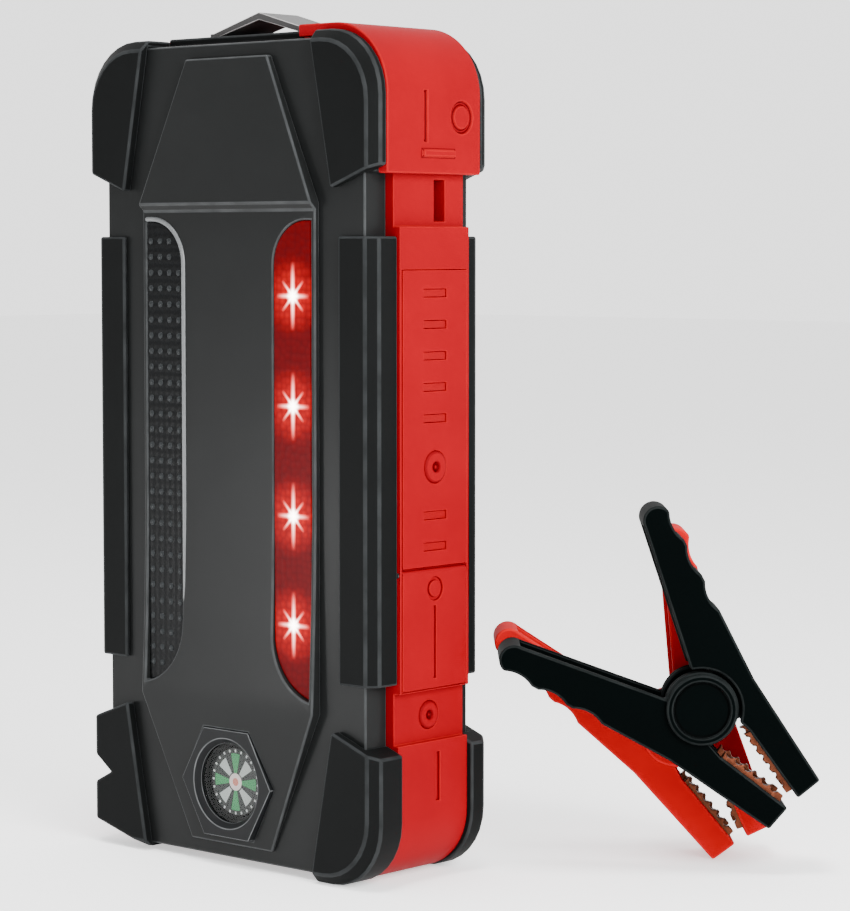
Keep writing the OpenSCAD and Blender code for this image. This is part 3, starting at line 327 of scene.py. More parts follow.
def lit_lens(name, tint, glow):
    """Clear red acrylic over lit LEDs: a dimpled back, and a red glow and a white star flare painted into
    the lens as light at each LED.
    """
    core_r, core_edge, halo_r, halo_edge = 0.4 * MM, 2.1 * MM, 1.5 * MM, 9.5 * MM
    dimple_size, dimple_depth = 1.5 * MM, 0.05 * MM
    dimple_r, dimple_gain, ridge_gain = 0.8, 1.25, 0.55
    flame_power, halo_power, unlit_power = 7.0, 0.8, 0.08
    material, tree, shader = start(name, IOR=1.49, Roughness=0.3, Specular_IOR_Level=0.03)
    lamps = island_centres("leds_right")
    pitch = lamps[1].z - lamps[0].z
    place = add(tree, "ShaderNodeTexCoord").outputs["Object"]
    axes = add(tree, "ShaderNodeSeparateXYZ", {0: place})
    # Every LED is at the middle of its own stretch of the lens
    along = add(
        tree, "ShaderNodeMath", {0: axes.outputs["Z"], 1: pitch / 2 - lamps[0].z}, operation="ADD"
    )
    turn = add(tree, "ShaderNodeMath", {0: along.outputs[0], 1: pitch, 2: 0.0}, operation="WRAP")
    up = add(tree, "ShaderNodeMath", {0: turn.outputs[0], 1: pitch / 2}, operation="SUBTRACT")
    across = add(tree, "ShaderNodeMath", {0: axes.outputs["X"], 1: lamps[0].x}, operation="SUBTRACT")
    spot = add(tree, "ShaderNodeCombineXYZ", {"X": across.outputs[0], "Z": up.outputs[0]})
    reach = add(tree, "ShaderNodeVectorMath", {0: spot.outputs[0]}, operation="LENGTH")
    star = None
    # Angle of each ray of the painted star flare, with its half length and half width in mm
    rays = [(0, 7.4, 0.8), (90, 4.9, 0.7), (44, 4.6, 0.5), (-44, 4.6, 0.5)]
    for angle, long, wide in rays:
        ray = add(
            tree, "ShaderNodeMapping",
            {
                "Vector": spot.outputs[0], "Rotation": (0, math.radians(angle), 0),
                "Scale": (wide * MM, 1, long * MM),
            },
            vector_type="TEXTURE",
        )
        size = add(tree, "ShaderNodeVectorMath", {0: ray.outputs[0]}, operation="ABSOLUTE")
        parts = add(tree, "ShaderNodeSeparateXYZ", {0: size.outputs[0]})
        thin = add(
            tree, "ShaderNodeMath", {0: 1.0, 1: parts.outputs["X"]}, operation="SUBTRACT", use_clamp=True
        )
        fade = add(
            tree, "ShaderNodeMath", {0: 1.0, 1: parts.outputs["Z"]}, operation="SUBTRACT", use_clamp=True
        )
        beam = add(
            tree, "ShaderNodeMath", {0: thin.outputs[0], 1: fade.outputs[0]}, operation="MULTIPLY"
        )
        star = beam if star is None else add(
            tree, "ShaderNodeMath", {0: star.outputs[0], 1: beam.outputs[0]}, operation="MAXIMUM"
        )
    core = add(
        tree, "ShaderNodeMapRange",
        {"Value": reach.outputs["Value"], "From Min": core_edge, "From Max": core_r},
        interpolation_type="SMOOTHSTEP",
    )
    halo = add(
        tree, "ShaderNodeMapRange",
        {"Value": reach.outputs["Value"], "From Min": halo_edge, "From Max": halo_r},
        interpolation_type="SMOOTHSTEP",
    )
    dimple = add(
        tree, "ShaderNodeTexVoronoi", {"Vector": place, "Scale": 1 / dimple_size, "Randomness": 0.55}
    )
    flame = add(tree, "ShaderNodeMath", {0: star.outputs[0], 1: core.outputs[0]}, operation="ADD")
    hot = add(
        tree, "ShaderNodeMix", {0: flame.outputs[0], 6: rgba(glow), 7: rgba(linear("fff4e6"))},
        data_type="RGBA",
    )
    mottle = add(
        tree, "ShaderNodeMapRange",
        {
            "Value": dimple.outputs["Distance"], "From Max": dimple_r, "To Min": dimple_gain,
            "To Max": ridge_gain,
        },
    )
    warm = add(
        tree, "ShaderNodeMath", {0: halo.outputs[0], 1: halo_power, 2: unlit_power},
        operation="MULTIPLY_ADD",
    )
    patchy = add(tree, "ShaderNodeMath", {0: warm.outputs[0], 1: mottle.outputs[0]}, operation="MULTIPLY")
    bright = add(
        tree, "ShaderNodeMath", {0: flame.outputs[0], 1: flame_power, 2: patchy.outputs[0]},
        operation="MULTIPLY_ADD",
    )
    relief = add(
        tree, "ShaderNodeBump",
        {"Height": dimple.outputs["Distance"], "Distance": dimple_depth, "Strength": 0.5},
    )
    shader.inputs["Base Color"].default_value = rgba(tint)
    link(
        tree, shader, Emission_Color=hot.outputs[2], Emission_Strength=bright.outputs[0],
        Normal=relief.outputs[0],
    )
    return material


def smoked_lens(name, tint):
    """Smoked acrylic: glossy, with a dark fluted back that shows as a faint grid."""
    flute_size, flute_depth = 1.7 * MM, 0.08 * MM
    crest, root = 1.7, 0.5
    smooth, rough = 0.16, 0.34
    material, tree, shader = start(name, IOR=1.49, Specular_IOR_Level=0.06)
    place = add(tree, "ShaderNodeTexCoord").outputs["Object"]
    flute = add(
        tree, "ShaderNodeTexVoronoi", {"Vector": place, "Scale": 1 / flute_size, "Randomness": 0.15},
        distance="MANHATTAN",
    )
    tone = add(
        tree, "ShaderNodeMix",
        {0: flute.outputs["Distance"], 6: rgba(tint, crest), 7: rgba(tint, root)}, data_type="RGBA",
    )
    polish = add(
        tree, "ShaderNodeMapRange",
        {"Value": flute.outputs["Distance"], "To Min": smooth, "To Max": rough},
    )
    relief = add(
        tree, "ShaderNodeBump",
        {"Height": flute.outputs["Distance"], "Distance": flute_depth, "Strength": 0.6},
    )
    link(
        tree, shader, Base_Color=tone.outputs[2], Roughness=polish.outputs[0], Normal=relief.outputs[0]
    )
    return material


def clear_window(name):
    """Clear acrylic window: see-through, with faint wiping marks in its gloss."""
    smear_size, smeared = 3 * MM, 0.06
    material, tree, shader = start(name, IOR=1.49, Alpha=0.2, Base_Color=rgba(linear("0c0f0f")))
    place = add(tree, "ShaderNodeTexCoord").outputs["Object"]
    smear = add(tree, "ShaderNodeTexNoise", {"Vector": place, "Scale": 1 / smear_size, "Detail": 3.0})
    polish = add(
        tree, "ShaderNodeMapRange", {"Value": smear.outputs["Fac"], "To Min": 0.0, "To Max": smeared}
    )
    link(tree, shader, Roughness=polish.outputs[0])
    return material


def compass_print(name, green):
    """Printed card: green points, pale points between them, a ring of ticks and a pale hub."""
    material, tree, shader = start(name, IOR=1.5, Roughness=0.45)
    low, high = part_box("compass_card")
    middle, radius = (low + high) / 2, (high.x - low.x) / 2
    place = add(tree, "ShaderNodeTexCoord").outputs["Object"]
    centred = add(
        tree, "ShaderNodeMapping",
        {
            "Vector": place, "Location": (-middle.x / radius, 0, -middle.z / radius),
            "Scale": (1 / radius, 0, 1 / radius),
        },
    )
    centred = centred.outputs[0]
    reach = add(tree, "ShaderNodeVectorMath", {0: centred}, operation="LENGTH").outputs["Value"]
    axes = add(tree, "ShaderNodeSeparateXYZ", {0: centred})
    angle = add(
        tree, "ShaderNodeMath", {0: axes.outputs["Z"], 1: axes.outputs["X"]}, operation="ARCTAN2"
    ).outputs[0]
    layer = rgba(linear("101b17"))
    # Points a turn, the angle of the first, how wide they are, where they start and end as shares of the
    # card's radius, and their ink
    prints = [
        (4, 0.0, 0.35, 0.22, 0.86, rgba(green)),
        (4, math.pi / 4, 0.42, 0.3, 0.8, rgba(linear("c9d2ce"))),
        (24, 0.0, 0.3, 0.9, 0.98, rgba(linear("e6ebe8"))),
        (1, 0.0, 2.0, 0.0, 0.26, rgba(linear("f6e9e4"))),
        (1, 0.0, 2.0, 0.0, 0.12, rgba(linear("e58a78"))),
    ]
    for count, first, width, inner, outer, ink in prints:
        wave = add(
            tree, "ShaderNodeMath", {0: angle, 1: count, 2: -first * count}, operation="MULTIPLY_ADD"
        )
        crest = add(tree, "ShaderNodeMath", {0: wave.outputs[0]}, operation="COSINE")
        inside = add(
            tree, "ShaderNodeMath", {0: crest.outputs[0], 1: 1 - width}, operation="GREATER_THAN"
        )
        past = add(tree, "ShaderNodeMath", {0: reach, 1: inner}, operation="GREATER_THAN")
        within = add(tree, "ShaderNodeMath", {0: reach, 1: outer}, operation="LESS_THAN")
        ring = add(tree, "ShaderNodeMath", {0: past.outputs[0], 1: within.outputs[0]}, operation="MULTIPLY")
        mask = add(tree, "ShaderNodeMath", {0: inside.outputs[0], 1: ring.outputs[0]}, operation="MULTIPLY")
        layer = add(
            tree, "ShaderNodeMix", {0: mask.outputs[0], 6: layer, 7: ink}, data_type="RGBA"
        ).outputs[2]
    link(tree, shader, Base_Color=layer)
    return material


def circuit_board(name):
    """Glass-fibre board: green solder mask over copper tracks that show through as paler lines."""
    track_run, track_pitch, track_width, track_rise = 6 * MM, 2 * MM, 0.25 * MM, 0.03 * MM
    material, tree, shader = start(name, IOR=1.5, Roughness=0.35)
    place = add(tree, "ShaderNodeTexCoord").outputs["Object"]
    tracks = add(
        tree, "ShaderNodeTexBrick",
        {
            "Vector": place, "Scale": 1.0, "Brick Width": track_run, "Row Height": track_pitch,
            "Mortar Size": track_width, "Color1": rgba(linear("0f5a2c")), "Color2": rgba(linear("0c4a25")),
            "Mortar": rgba(linear("3d8a4a")),
        },
    )
    relief = add(
        tree, "ShaderNodeBump", {"Height": tracks.outputs["Fac"], "Distance": track_rise, "Strength": 0.5}
    )
    link(tree, shader, Base_Color=tracks.outputs["Color"], Normal=relief.outputs[0])
    return material


def pouch_foil(name):
    """Aluminium pouch foil: soft metal sheen with shallow wrinkles."""
    crease_size, crease_depth = 7 * MM, 0.25 * MM
    smooth, rough = 0.28, 0.5
    material, tree, shader = start(name, Metallic=0.85, Base_Color=rgba(linear("b4b8bd")))
    place = add(tree, "ShaderNodeTexCoord").outputs["Object"]
    crease = add(tree, "ShaderNodeTexNoise", {"Vector": place, "Scale": 1 / crease_size, "Detail": 5.0})
    polish = add(
        tree, "ShaderNodeMapRange", {"Value": crease.outputs["Fac"], "To Min": smooth, "To Max": rough}
    )
    relief = add(
        tree, "ShaderNodeBump", {"Height": crease.outputs["Fac"], "Distance": crease_depth, "Strength": 0.6}
    )
    link(tree, shader, Roughness=polish.outputs[0], Normal=relief.outputs[0])
    return material


def open_foam(name):
    """Open-cell foam: dull black with round pores."""
    pore_size, pore_depth = 0.8 * MM, 0.3 * MM
    material, tree, shader = start(name, IOR=1.5, Roughness=0.95)
    place = add(tree, "ShaderNodeTexCoord").outputs["Object"]
    pores = add(tree, "ShaderNodeTexVoronoi", {"Vector": place, "Scale": 1 / pore_size})
    tone = add(
        tree, "ShaderNodeMix",
        {0: pores.outputs["Distance"], 6: rgba(linear("0b0b0b")), 7: rgba(linear("2e2e2e"))},
        data_type="RGBA",
    )
    relief = add(
        tree, "ShaderNodeBump",
        {"Height": pores.outputs["Distance"], "Distance": pore_depth, "Strength": 0.8},
    )
    link(tree, shader, Base_Color=tone.outputs[2], Normal=relief.outputs[0])
    return material


def led_resin(name, resin, glow, strength):
    """LED packages: pale resin over a chip, whose light comes through unevenly where it is lit."""
    cloud_size, dimmer, brighter = 1.2 * MM, 0.6, 1.4
    material, tree, shader = start(name, IOR=1.5, Roughness=0.3, Base_Color=rgba(resin))
    place = add(tree, "ShaderNodeTexCoord").outputs["Object"]
    cloud = add(tree, "ShaderNodeTexNoise", {"Vector": place, "Scale": 1 / cloud_size, "Detail": 2.0})
    lamp = add(
        tree, "ShaderNodeMapRange",
        {"Value": cloud.outputs["Fac"], "To Min": strength * dimmer, "To Max": strength * brighter},
    )
    shader.inputs["Emission Color"].default_value = rgba(glow)
    link(tree, shader, Emission_Strength=lamp.outputs[0])
    return material


def make_finishes(hues):
    """One material for each of the record's slots, named for what it is made of."""
    black, dull_black, white = linear("111212"), linear("3a3b3c"), linear("d9d9d6")
    plain, drawn = (1, 1, 1), (1, 1, 0.08)
    # Slot, name, colour and colour of edges, paler as wear and painted highlight, then roughness, grain and
    # its depth in mm, IOR and gloss
    plastics = [
        # Textured ABS scatters soft light, with a fine grain and paler edges of wear and painted highlight
        (
            "case_grey", "Textured ABS, case grey", hues.case, linear("404243"),
            0.32, 0.32, 0.02, 1.53, 0.06,
        ),
        # Soft moulded bumpers are a little darker and duller than the shells
        (
            "bumper_rubber", "Moulded TPU, bumper black", hues.bumper, linear("303233"),
            0.5, 0.4, 0.02, 1.53, 0.025,
        ),
        # Satin red ABS keeps its colour in the shade, with a low soft gloss
        (
            "band_red", "Satin ABS, red", hues.band, linear("980c12"),
            0.5, 0.4, 0.012, 1.53, 0.02,
        ),
        # Silicone is dull and soft, with next to no grain
        (
            "seal_rubber", "Silicone rubber, seal", linear("161717"), black,
            0.6, 0.3, 0.01, 1.43, 0.1,
        ),
        # A dark satin bezel whose handled edges are painted a shining grey, as wear and highlight
        (
            "bezel_grey", "Moulded ABS, bezel", linear("141516"), linear("6a6c6d"),
            0.4, 0.3, 0.01, 1.53, 0.06,
        ),
        # The cup is smooth and dark, so that the card stands out
        (
            "cup_black", "Moulded ABS, cup black", black, dull_black,
            0.3, 0.3, 0.008, 1.53, 0.1,
        ),
        # Nylon mouldings have a waxy, even gloss
        (
            "socket_blue", "Moulded nylon, socket blue", linear("173a7a"), linear("3f63a6"),
            0.45, 0.3, 0.01, 1.53, 0.1,
        ),
        (
            "tongue_white", "Moulded nylon, white", white, white,
            0.5, 0.3, 0.01, 1.53, 0.1,
        ),
        (
            "switch_black", "Moulded nylon, black", black, dull_black,
            0.45, 0.3, 0.01, 1.53, 0.1,
        ),
        (
            "bridge_grey", "Moulded nylon, bridge grey", hues.bridge, linear("b8b4b4"),
            0.4, 0.3, 0.01, 1.53, 0.1,
        ),
        # Unlit light guides look like slightly glossier bars of the red panel
        (
            "guide_red", "Red acrylic, light guide", linear("7c000a"), linear("8a0810"),
            0.3, 0.5, 0.006, 1.49, 0.04,
        ),
        # The tray is plain and coarse, as inner mouldings are
        (
            "tray_grey", "Moulded ABS, tray grey", linear("3c3e40"), linear("5d5f61"),
            0.5, 0.4, 0.02, 1.53, 0.1,
        ),
        # Polypropylene grips are smooth and dull
        (
            "clamp_black", "Moulded PP, clamp black", hues.clamp_black, linear("202323"),
            0.55, 0.6, 0.012, 1.49, 0.01,
        ),
        (
            "clamp_red", "Moulded PP, clamp red", hues.clamp_red, linear("b8181a"),
            0.55, 0.6, 0.012, 1.49, 0.01,
        ),
    ]
    finishes = {
        slot: moulded(name, base, wear_and_painted_light, rough, grain * MM, depth * MM, ior, gloss)
        for slot, name, base, wear_and_painted_light, rough, grain, depth, ior, gloss in plastics
    }
    finishes.update(
        {
            "lens_smoke": smoked_lens("Smoked acrylic, fluted", hues.lens_smoke),
            "lens_red": lit_lens("Red acrylic, lit", hues.lens_red, hues.glow),
            "board_green": circuit_board("Circuit board, green mask"),
            "led_white": led_resin("LED resin, white", linear("f2eedd"), linear("fff6dd"), 0.0),
            "led_red": led_resin("LED resin, lit", linear("ffc9c0"), linear("ff5a48"), 4.0),
            "glass": clear_window("Clear acrylic, window"),
            "card_green": compass_print("Printed card, compass", hues.card),
            # Drawing leaves fine lines along screws, pins and wire
            "steel": metal("Drawn steel", linear("8f9296"), linear("6a6d71"), 0.36, drawn),
            # Contacts keep a bright yellow shine where plugs rub them
            "brass": metal("Turned brass", linear("d1a94e"), linear("a3813a"), 0.25, plain),
            # Jaws and bars tarnish to brown in patches
            "copper": metal("Stamped copper plate", linear("6e3c29"), linear("2a1610"), 0.42, plain),
            "cell_silver": pouch_foil("Pouch foil, aluminium"),
            "foam_black": open_foam("Open-cell foam, black"),
        }
    )
    return finishes


FINISHES = {}


def finish_of(slot):
    """The material of a slot, made with all the others on the first call."""
    if not FINISHES:
        FINISHES.update(make_finishes(bpy.context.scene.jump_starter_colours))
    return FINISHES[slot]


def place_piece(name, mesh, material, body):
    """An object at the origin from a bmesh, smooth but for its creases, which rides on any body given."""
    for face in mesh.faces:
        face.smooth = True
    for edge in mesh.edges:
        edge.smooth = edge.smooth and edge.calc_face_angle(0.0) < CREASE
    data = bpy.data.meshes.new(name)
    mesh.to_mesh(data)
    mesh.free()
    data.materials.append(material)
    piece = bpy.data.objects.new(name, data)
    bpy.context.scene.collection.objects.link(piece)
    if body:
        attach(piece, body)
    return piece


def merged_copy(node):
    """A bmesh of a CAD node with its triangles merged into flat faces."""
    mesh = bmesh.new()
    mesh.from_mesh(NODES[node].data)
    bmesh.ops.remove_doubles(mesh, verts=mesh.verts, dist=MERGE)
    bmesh.ops.dissolve_limit(mesh, angle_limit=FLAT, verts=mesh.verts, edges=mesh.edges)
    return mesh


def paint_hollow_shade(mesh, layer):
    """Marks the faces that walls stand close to with painted shade, darker the more rays meet a wall."""
    tree = BVHTree.FromBMesh(mesh)
    for face in mesh.faces:
        side = face.normal.orthogonal().normalized()
        start_at = face.calc_center_median() + face.normal * SHADE_LIFT
        shut = 0
        for i in range(SHADE_RAYS):
            turn = Matrix.Rotation(math.tau * i / SHADE_RAYS, 3, face.normal)
            way = (turn @ side + face.normal).normalized()
            shut += tree.ray_cast(start_at, way, SHADE_REACH)[0] is not None
        if shut > SHADE_RAYS / 2:
            face[layer] = -shut / SHADE_RAYS


def cut_drives(mesh):
    """Sinks a tapering cross into the rear face of each screw head."""
    arm = ((DRIVE_HALF, DRIVE_HALF), (DRIVE_HALF, DRIVE_ARM), (-DRIVE_HALF, DRIVE_ARM))
    rear = max(vert.co.y for vert in mesh.verts) - MERGE
    for head in [f for f in mesh.faces if min(v.co.y for v in f.verts) > rear]:
        middle = head.calc_center_bounds()
        rim = list(head.edges)
        bmesh.ops.delete(mesh, geom=[head], context="FACES_ONLY")
        corners = []
        for quarter in range(4):
            turn = Matrix.Rotation(-quarter * math.pi / 2, 3, "Y")
            for across, along in arm:
                corners.append(mesh.verts.new(middle + turn @ Vector((across, 0, along))))
        cross = [mesh.edges.new((corners[i - 1], corners[i])) for i in range(len(corners))]
        bmesh.ops.triangle_fill(mesh, edges=rim + cross, use_beauty=True, normal=(0, 1, 0))
        walls = bmesh.ops.extrude_edge_only(mesh, edges=cross)["geom"]
        deep = [v for v in walls if isinstance(v, bmesh.types.BMVert)]
        floor = [e for e in walls if isinstance(e, bmesh.types.BMEdge)]
        bmesh.ops.translate(mesh, verts=deep, vec=(0, -DRIVE_DEPTH, 0))
        bmesh.ops.scale(
            mesh, verts=deep, vec=(DRIVE_TAPER, 1, DRIVE_TAPER), space=Matrix.Translation(-middle)
        )
        base = bmesh.ops.contextual_create(mesh, geom=floor)["faces"]
        bmesh.ops.connect_verts_concave(mesh, faces=base)
    bmesh.ops.recalc_face_normals(mesh, faces=mesh.faces)


def dress(node, width, segments=2, edge_wear_and_light=1.0, shade_hollows=False, fold=CREASE, carve=None):
    """Stands a copy of a CAD node, with its sharp edges rounded, outer ones painted pale as wear and
    highlight and inner ones painted with shade, for that node.

    Edges that aren't rounded stay creases where they bend by more than fold. A carve function, if there
    is one, cuts the rounded copy.
    """
    mesh = merged_copy(node)
    bmesh.ops.connect_verts_concave(mesh, faces=mesh.faces)
    # A face layer of painted light: pale wear and highlight above 0, painted shade below 0
    wear_and_painted_light = mesh.faces.layers.float.new("edge")
    sharp = [e for e in mesh.edges if e.is_manifold and e.calc_face_angle() > ROUND_FROM]
    if not sharp:
        raise RuntimeError(f"{node} has no edges to round")
    made = bmesh.ops.bevel(
        mesh, geom=sharp, offset=width, offset_type="OFFSET", affect="EDGES", segments=segments,
        profile=0.5, material=-1, clamp_overlap=False, loop_slide=False,
    )
    mesh.normal_update()
    # Outward rounded faces are painted pale as wear and highlight by the value given, inward ones with
    # painted shade
    for face in made["faces"]:
        bend = sum(edge.calc_face_angle_signed(0.0) for edge in face.edges)
        face[wear_and_painted_light] = edge_wear_and_light if bend > 0 else -1.0
    rounded = set(made["faces"])
    for edge in mesh.edges:
        if edge.calc_face_angle(0.0) > fold and rounded.isdisjoint(edge.link_faces):
            edge.smooth = False
    # Faces close to walls get painted shade
    if shade_hollows:
        paint_hollow_shade(mesh, wear_and_painted_light)
    if carve:
        carve(mesh)
    bmesh.ops.dissolve_degenerate(mesh, dist=MERGE, edges=mesh.edges)
    piece = place_piece(f"{node}_dressed", mesh, finish_of(SLOT_OF[node]), BODY_OF[node])
    even = piece.modifiers.new("Even normals", "WEIGHTED_NORMAL")
    even.keep_sharp = True
    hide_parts(node)
    return piece


class JumpStarterCase(bpy.types.Operator):
    """Dresses the shells, the front panel, the seals, the screws, the cutter and the hinge pins."""

    bl_idname = "jump_starter.case"
    bl_label = "Case"

    def execute(self, context):
        sizes = context.scene.jump_starter_sizes
        for node in ("front_shell", "rear_shell"):
            dress(node, sizes.case_edge, 3)
        dress("front_panel", sizes.case_edge, 3, fold=SILL_FOLD)
        for node in ("front_seal", "rear_seal"):
            dress(node, sizes.small_edge)
        dress("case_screws", sizes.small_edge, carve=cut_drives)
        for node in ("belt_cutter", "jump_cover_pin", "port_cover_pin"):
            dress(node, sizes.small_edge)
        return {"FINISHED"}


class JumpStarterBumpers(bpy.types.Operator):
    """Dresses the corner bumpers, the side pads and the top deck."""

    bl_idname = "jump_starter.bumpers"
    bl_label = "Bumpers"

    def execute(self, context):
        sizes = context.scene.jump_starter_sizes
        corners = [n for n in NODES if n.startswith("bumper_")]
        for node in sorted(corners) + ["rear_bumpers", "front_side_pads", "rear_side_pads", "top_deck"]:
            dress(node, sizes.bumper_edge, 3)
        return {"FINISHED"}


class JumpStarterRedSide(bpy.types.Operator):
    """Dresses the red middle frame with its covers, control panel, buttons and light guides."""

    bl_idname = "jump_starter.red_side"
    bl_label = "Red side"

    def execute(self, context):
        sizes = context.scene.jump_starter_sizes
        # The red side's grooves and hollows get painted shade
        dress("mid_frame", sizes.frame_edge, shade_hollows=True)
        dress("jump_cover", sizes.band_edge, 3, shade_hollows=True)
        for node in ("control_panel", "port_cover", "charge_light_guide", "status_light_guide"):
            dress(node, sizes.small_edge, shade_hollows=True)
        # The buttons' rims get painted shade where the covers' and the panel's edges are painted pale
        for node in ("power_button", "light_button"):
            dress(node, sizes.button_edge, 3, edge_wear_and_light=-0.5, shade_hollows=True)
        return {"FINISHED"}


class JumpStarterLights(bpy.types.Operator):
    """Dresses the light strips, and adds the smoked lens's prism dots and its bead."""

    bl_idname = "jump_starter.lights"
    bl_label = "Light strips"

    def execute(self, context):
        sizes = context.scene.jump_starter_sizes
        colours = context.scene.jump_starter_colours
        for node in ("lens_left", "lens_right"):
            dress(node, sizes.band_edge)
        for node in ("led_board_left", "led_board_right", "leds_left", "leds_right"):
            dress(node, sizes.small_edge)
        self.set_dots(sizes, colours)
        self.lay_bead(sizes, colours)
        return {"FINISHED"}

    def set_dots(self, sizes, colours):
        """Rows of prism dots, wherever the smoked lens has room for a whole one."""
        low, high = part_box("lens_left")
        mesh = merged_copy("lens_left")
        lens = BVHTree.FromBMesh(mesh)
        mesh.free()
        front, ahead = low.y, Vector((0, 1, 0))
        room = DOT_ROOM * sizes.dot_r
        dots = bmesh.new()
        columns = int((high.x - low.x) / sizes.dot_pitch_x)
        rows = int((high.z - low.z) / sizes.dot_pitch_z)
        for column in range(columns):
            for row in range(rows):
                x = (low.x + high.x) / 2 + (column - (columns - 1) / 2) * sizes.dot_pitch_x
                z = (low.z + high.z) / 2 + (row - (rows - 1) / 2) * sizes.dot_pitch_z
                corners = [(x + sx * room, z + sz * room) for sx in (-1, 1) for sz in (-1, 1)]
                seen = [
                    lens.ray_cast(Vector((cx, front - DOT_PROBE, cz)), ahead, DOT_PROBE + DOT_SINK)[0]
                    for cx, cz in corners
                ]
                if None in seen:
                    continue
                place = Matrix.Translation((x, front, z)) @ Matrix.Diagonal(
                    (sizes.dot_r, sizes.dot_rise, sizes.dot_r, 1)
                )
                bmesh.ops.create_icosphere(dots, subdivisions=2, radius=1, matrix=place)
        bmesh.ops.recalc_face_normals(dots, faces=dots.faces)
        # The prisms' grey is a painted glint: dim grey points on the dark lens
        prism = moulded(
            "Acrylic prisms, smoked", colours.dots, colours.dots, 0.2, 0.5 * MM, 0.005 * MM, 1.49, 0.06
        )
        place_piece("lens_left_dots", dots, prism, BODY_OF["lens_left"])

    def lay_bead(self, sizes, colours):
        """A bead in the corner between the smoked lens and the panel, round the lens's inner side."""
        mesh = merged_copy("lens_left")
        face = max((f for f in mesh.faces if f.normal.y < -FACING), key=lambda f: f.calc_area())
        rim = [vert.co.copy() for vert in face.verts]
        mesh.free()
        # The run starts and ends at the two corners on the lens's outer side
        outer = min(p.x for p in rim) + sizes.rim_r / 2
        first = next(i for i, p in enumerate(rim) if p.x < outer <= rim[(i + 1) % len(rim)].x)
        run = rim[first:] + rim[:first]
        path = bpy.data.curves.new("lens_left_bead", "CURVE")
        path.dimensions = "3D"
        path.bevel_depth = sizes.rim_r
        path.bevel_resolution = 3
        path.use_fill_caps = True
        spline = path.splines.new("POLY")
        spline.points.add(len(run) - 1)
        for i, place in enumerate(run):
            ahead = (run[min(i + 1, len(run) - 1)] - run[max(i - 1, 0)]).normalized()
            inward = ahead.cross(Vector((0, -1, 0))) * sizes.rim_r
            spline.points[i].co = (place.x + inward.x, place.y, place.z + inward.z, 1)
        draft = bpy.data.objects.new("lens_left_bead", path)
        bead = bmesh.new()
        bead.from_mesh(bpy.data.meshes.new_from_object(draft))
        bpy.data.objects.remove(draft)
        bmesh.ops.remove_doubles(bead, verts=bead.verts, dist=MERGE)
        # Satin moulded trim keeps a thin soft line of light along its crown
        trim = moulded(
            "Moulded ABS, bead grey", colours.bead, colours.bead, 0.35, 0.4 * MM, 0.006 * MM, gloss=0.3
        )
        place_piece("lens_left_bead", bead, trim, BODY_OF["lens_left"])


class JumpStarterCompass(bpy.types.Operator):
    """Dresses the compass."""

    bl_idname = "jump_starter.compass"
    bl_label = "Compass"

    def execute(self, context):
        sizes = context.scene.jump_starter_sizes
        for node in ("compass_bezel", "compass_cup", "compass_card", "compass_needle", "compass_glass"):
            dress(node, sizes.small_edge)
        return {"FINISHED"}


class JumpStarterBridge(bpy.types.Operator):
    """Dresses the carry bridge."""

    bl_idname = "jump_starter.bridge"
    bl_label = "Carry bridge"

    def execute(self, context):
        dress("carry_bridge", context.scene.jump_starter_sizes.small_edge)
        return {"FINISHED"}


class JumpStarterInsides(bpy.types.Operator):
    """Dresses what the case holds: sockets, boards, switches, cells and bars."""

    bl_idname = "jump_starter.insides"
    bl_label = "Insides"

    def execute(self, context):
        sizes = context.scene.jump_starter_sizes
        small = (
            "jump_socket", "jump_contacts", "usb_sockets", "usb_tongues", "control_board",
            "push_switches", "battery_tray", "battery_foam", "bus_bars",
        )
        for node in small:
            dress(node, sizes.small_edge)
        dress("battery_cells", sizes.cell_edge, 4)
        return {"FINISHED"}


class JumpStarterClamps(bpy.types.Operator):
    """Dresses both clamps, and rounds their spring wire."""

    bl_idname = "jump_starter.clamps"
    bl_label = "Clamps"

    def execute(self, context):
        sizes = context.scene.jump_starter_sizes
        for clamp in ("black", "red"):
            for piece in ("upper_lever", "lower_lever"):
                dress(f"{clamp}_{piece}", sizes.clamp_edge, 3)
            for piece in ("upper_jaw", "lower_jaw"):
                dress(f"{clamp}_{piece}", sizes.small_edge)
            dress(f"{clamp}_pivot_pin", sizes.clamp_edge, 3)
            self.wind(clamp)
        return {"FINISHED"}

    def wind(self, clamp):
        """Round wire for a clamp's spring: a subdivided copy, first made fuller by what that takes off.
        """
        node = f"{clamp}_spring"
        mesh = bmesh.new()
        mesh.from_mesh(NODES[node].data)
        bmesh.ops.remove_doubles(mesh, verts=mesh.verts, dist=MERGE)
        bmesh.ops.recalc_face_normals(mesh, faces=mesh.faces)
        mesh.normal_update()
        fuller = 0.09 * MM
        for vert, normal in [(v, v.normal.copy()) for v in mesh.verts]:
            vert.co += normal * fuller
        piece = place_piece(f"{node}_wound", mesh, finish_of(SLOT_OF[node]), None)
        wire = piece.modifiers.new("Round wire", "SUBSURF")
        wire.levels = wire.render_levels = 2
        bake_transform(piece)
        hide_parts(node)


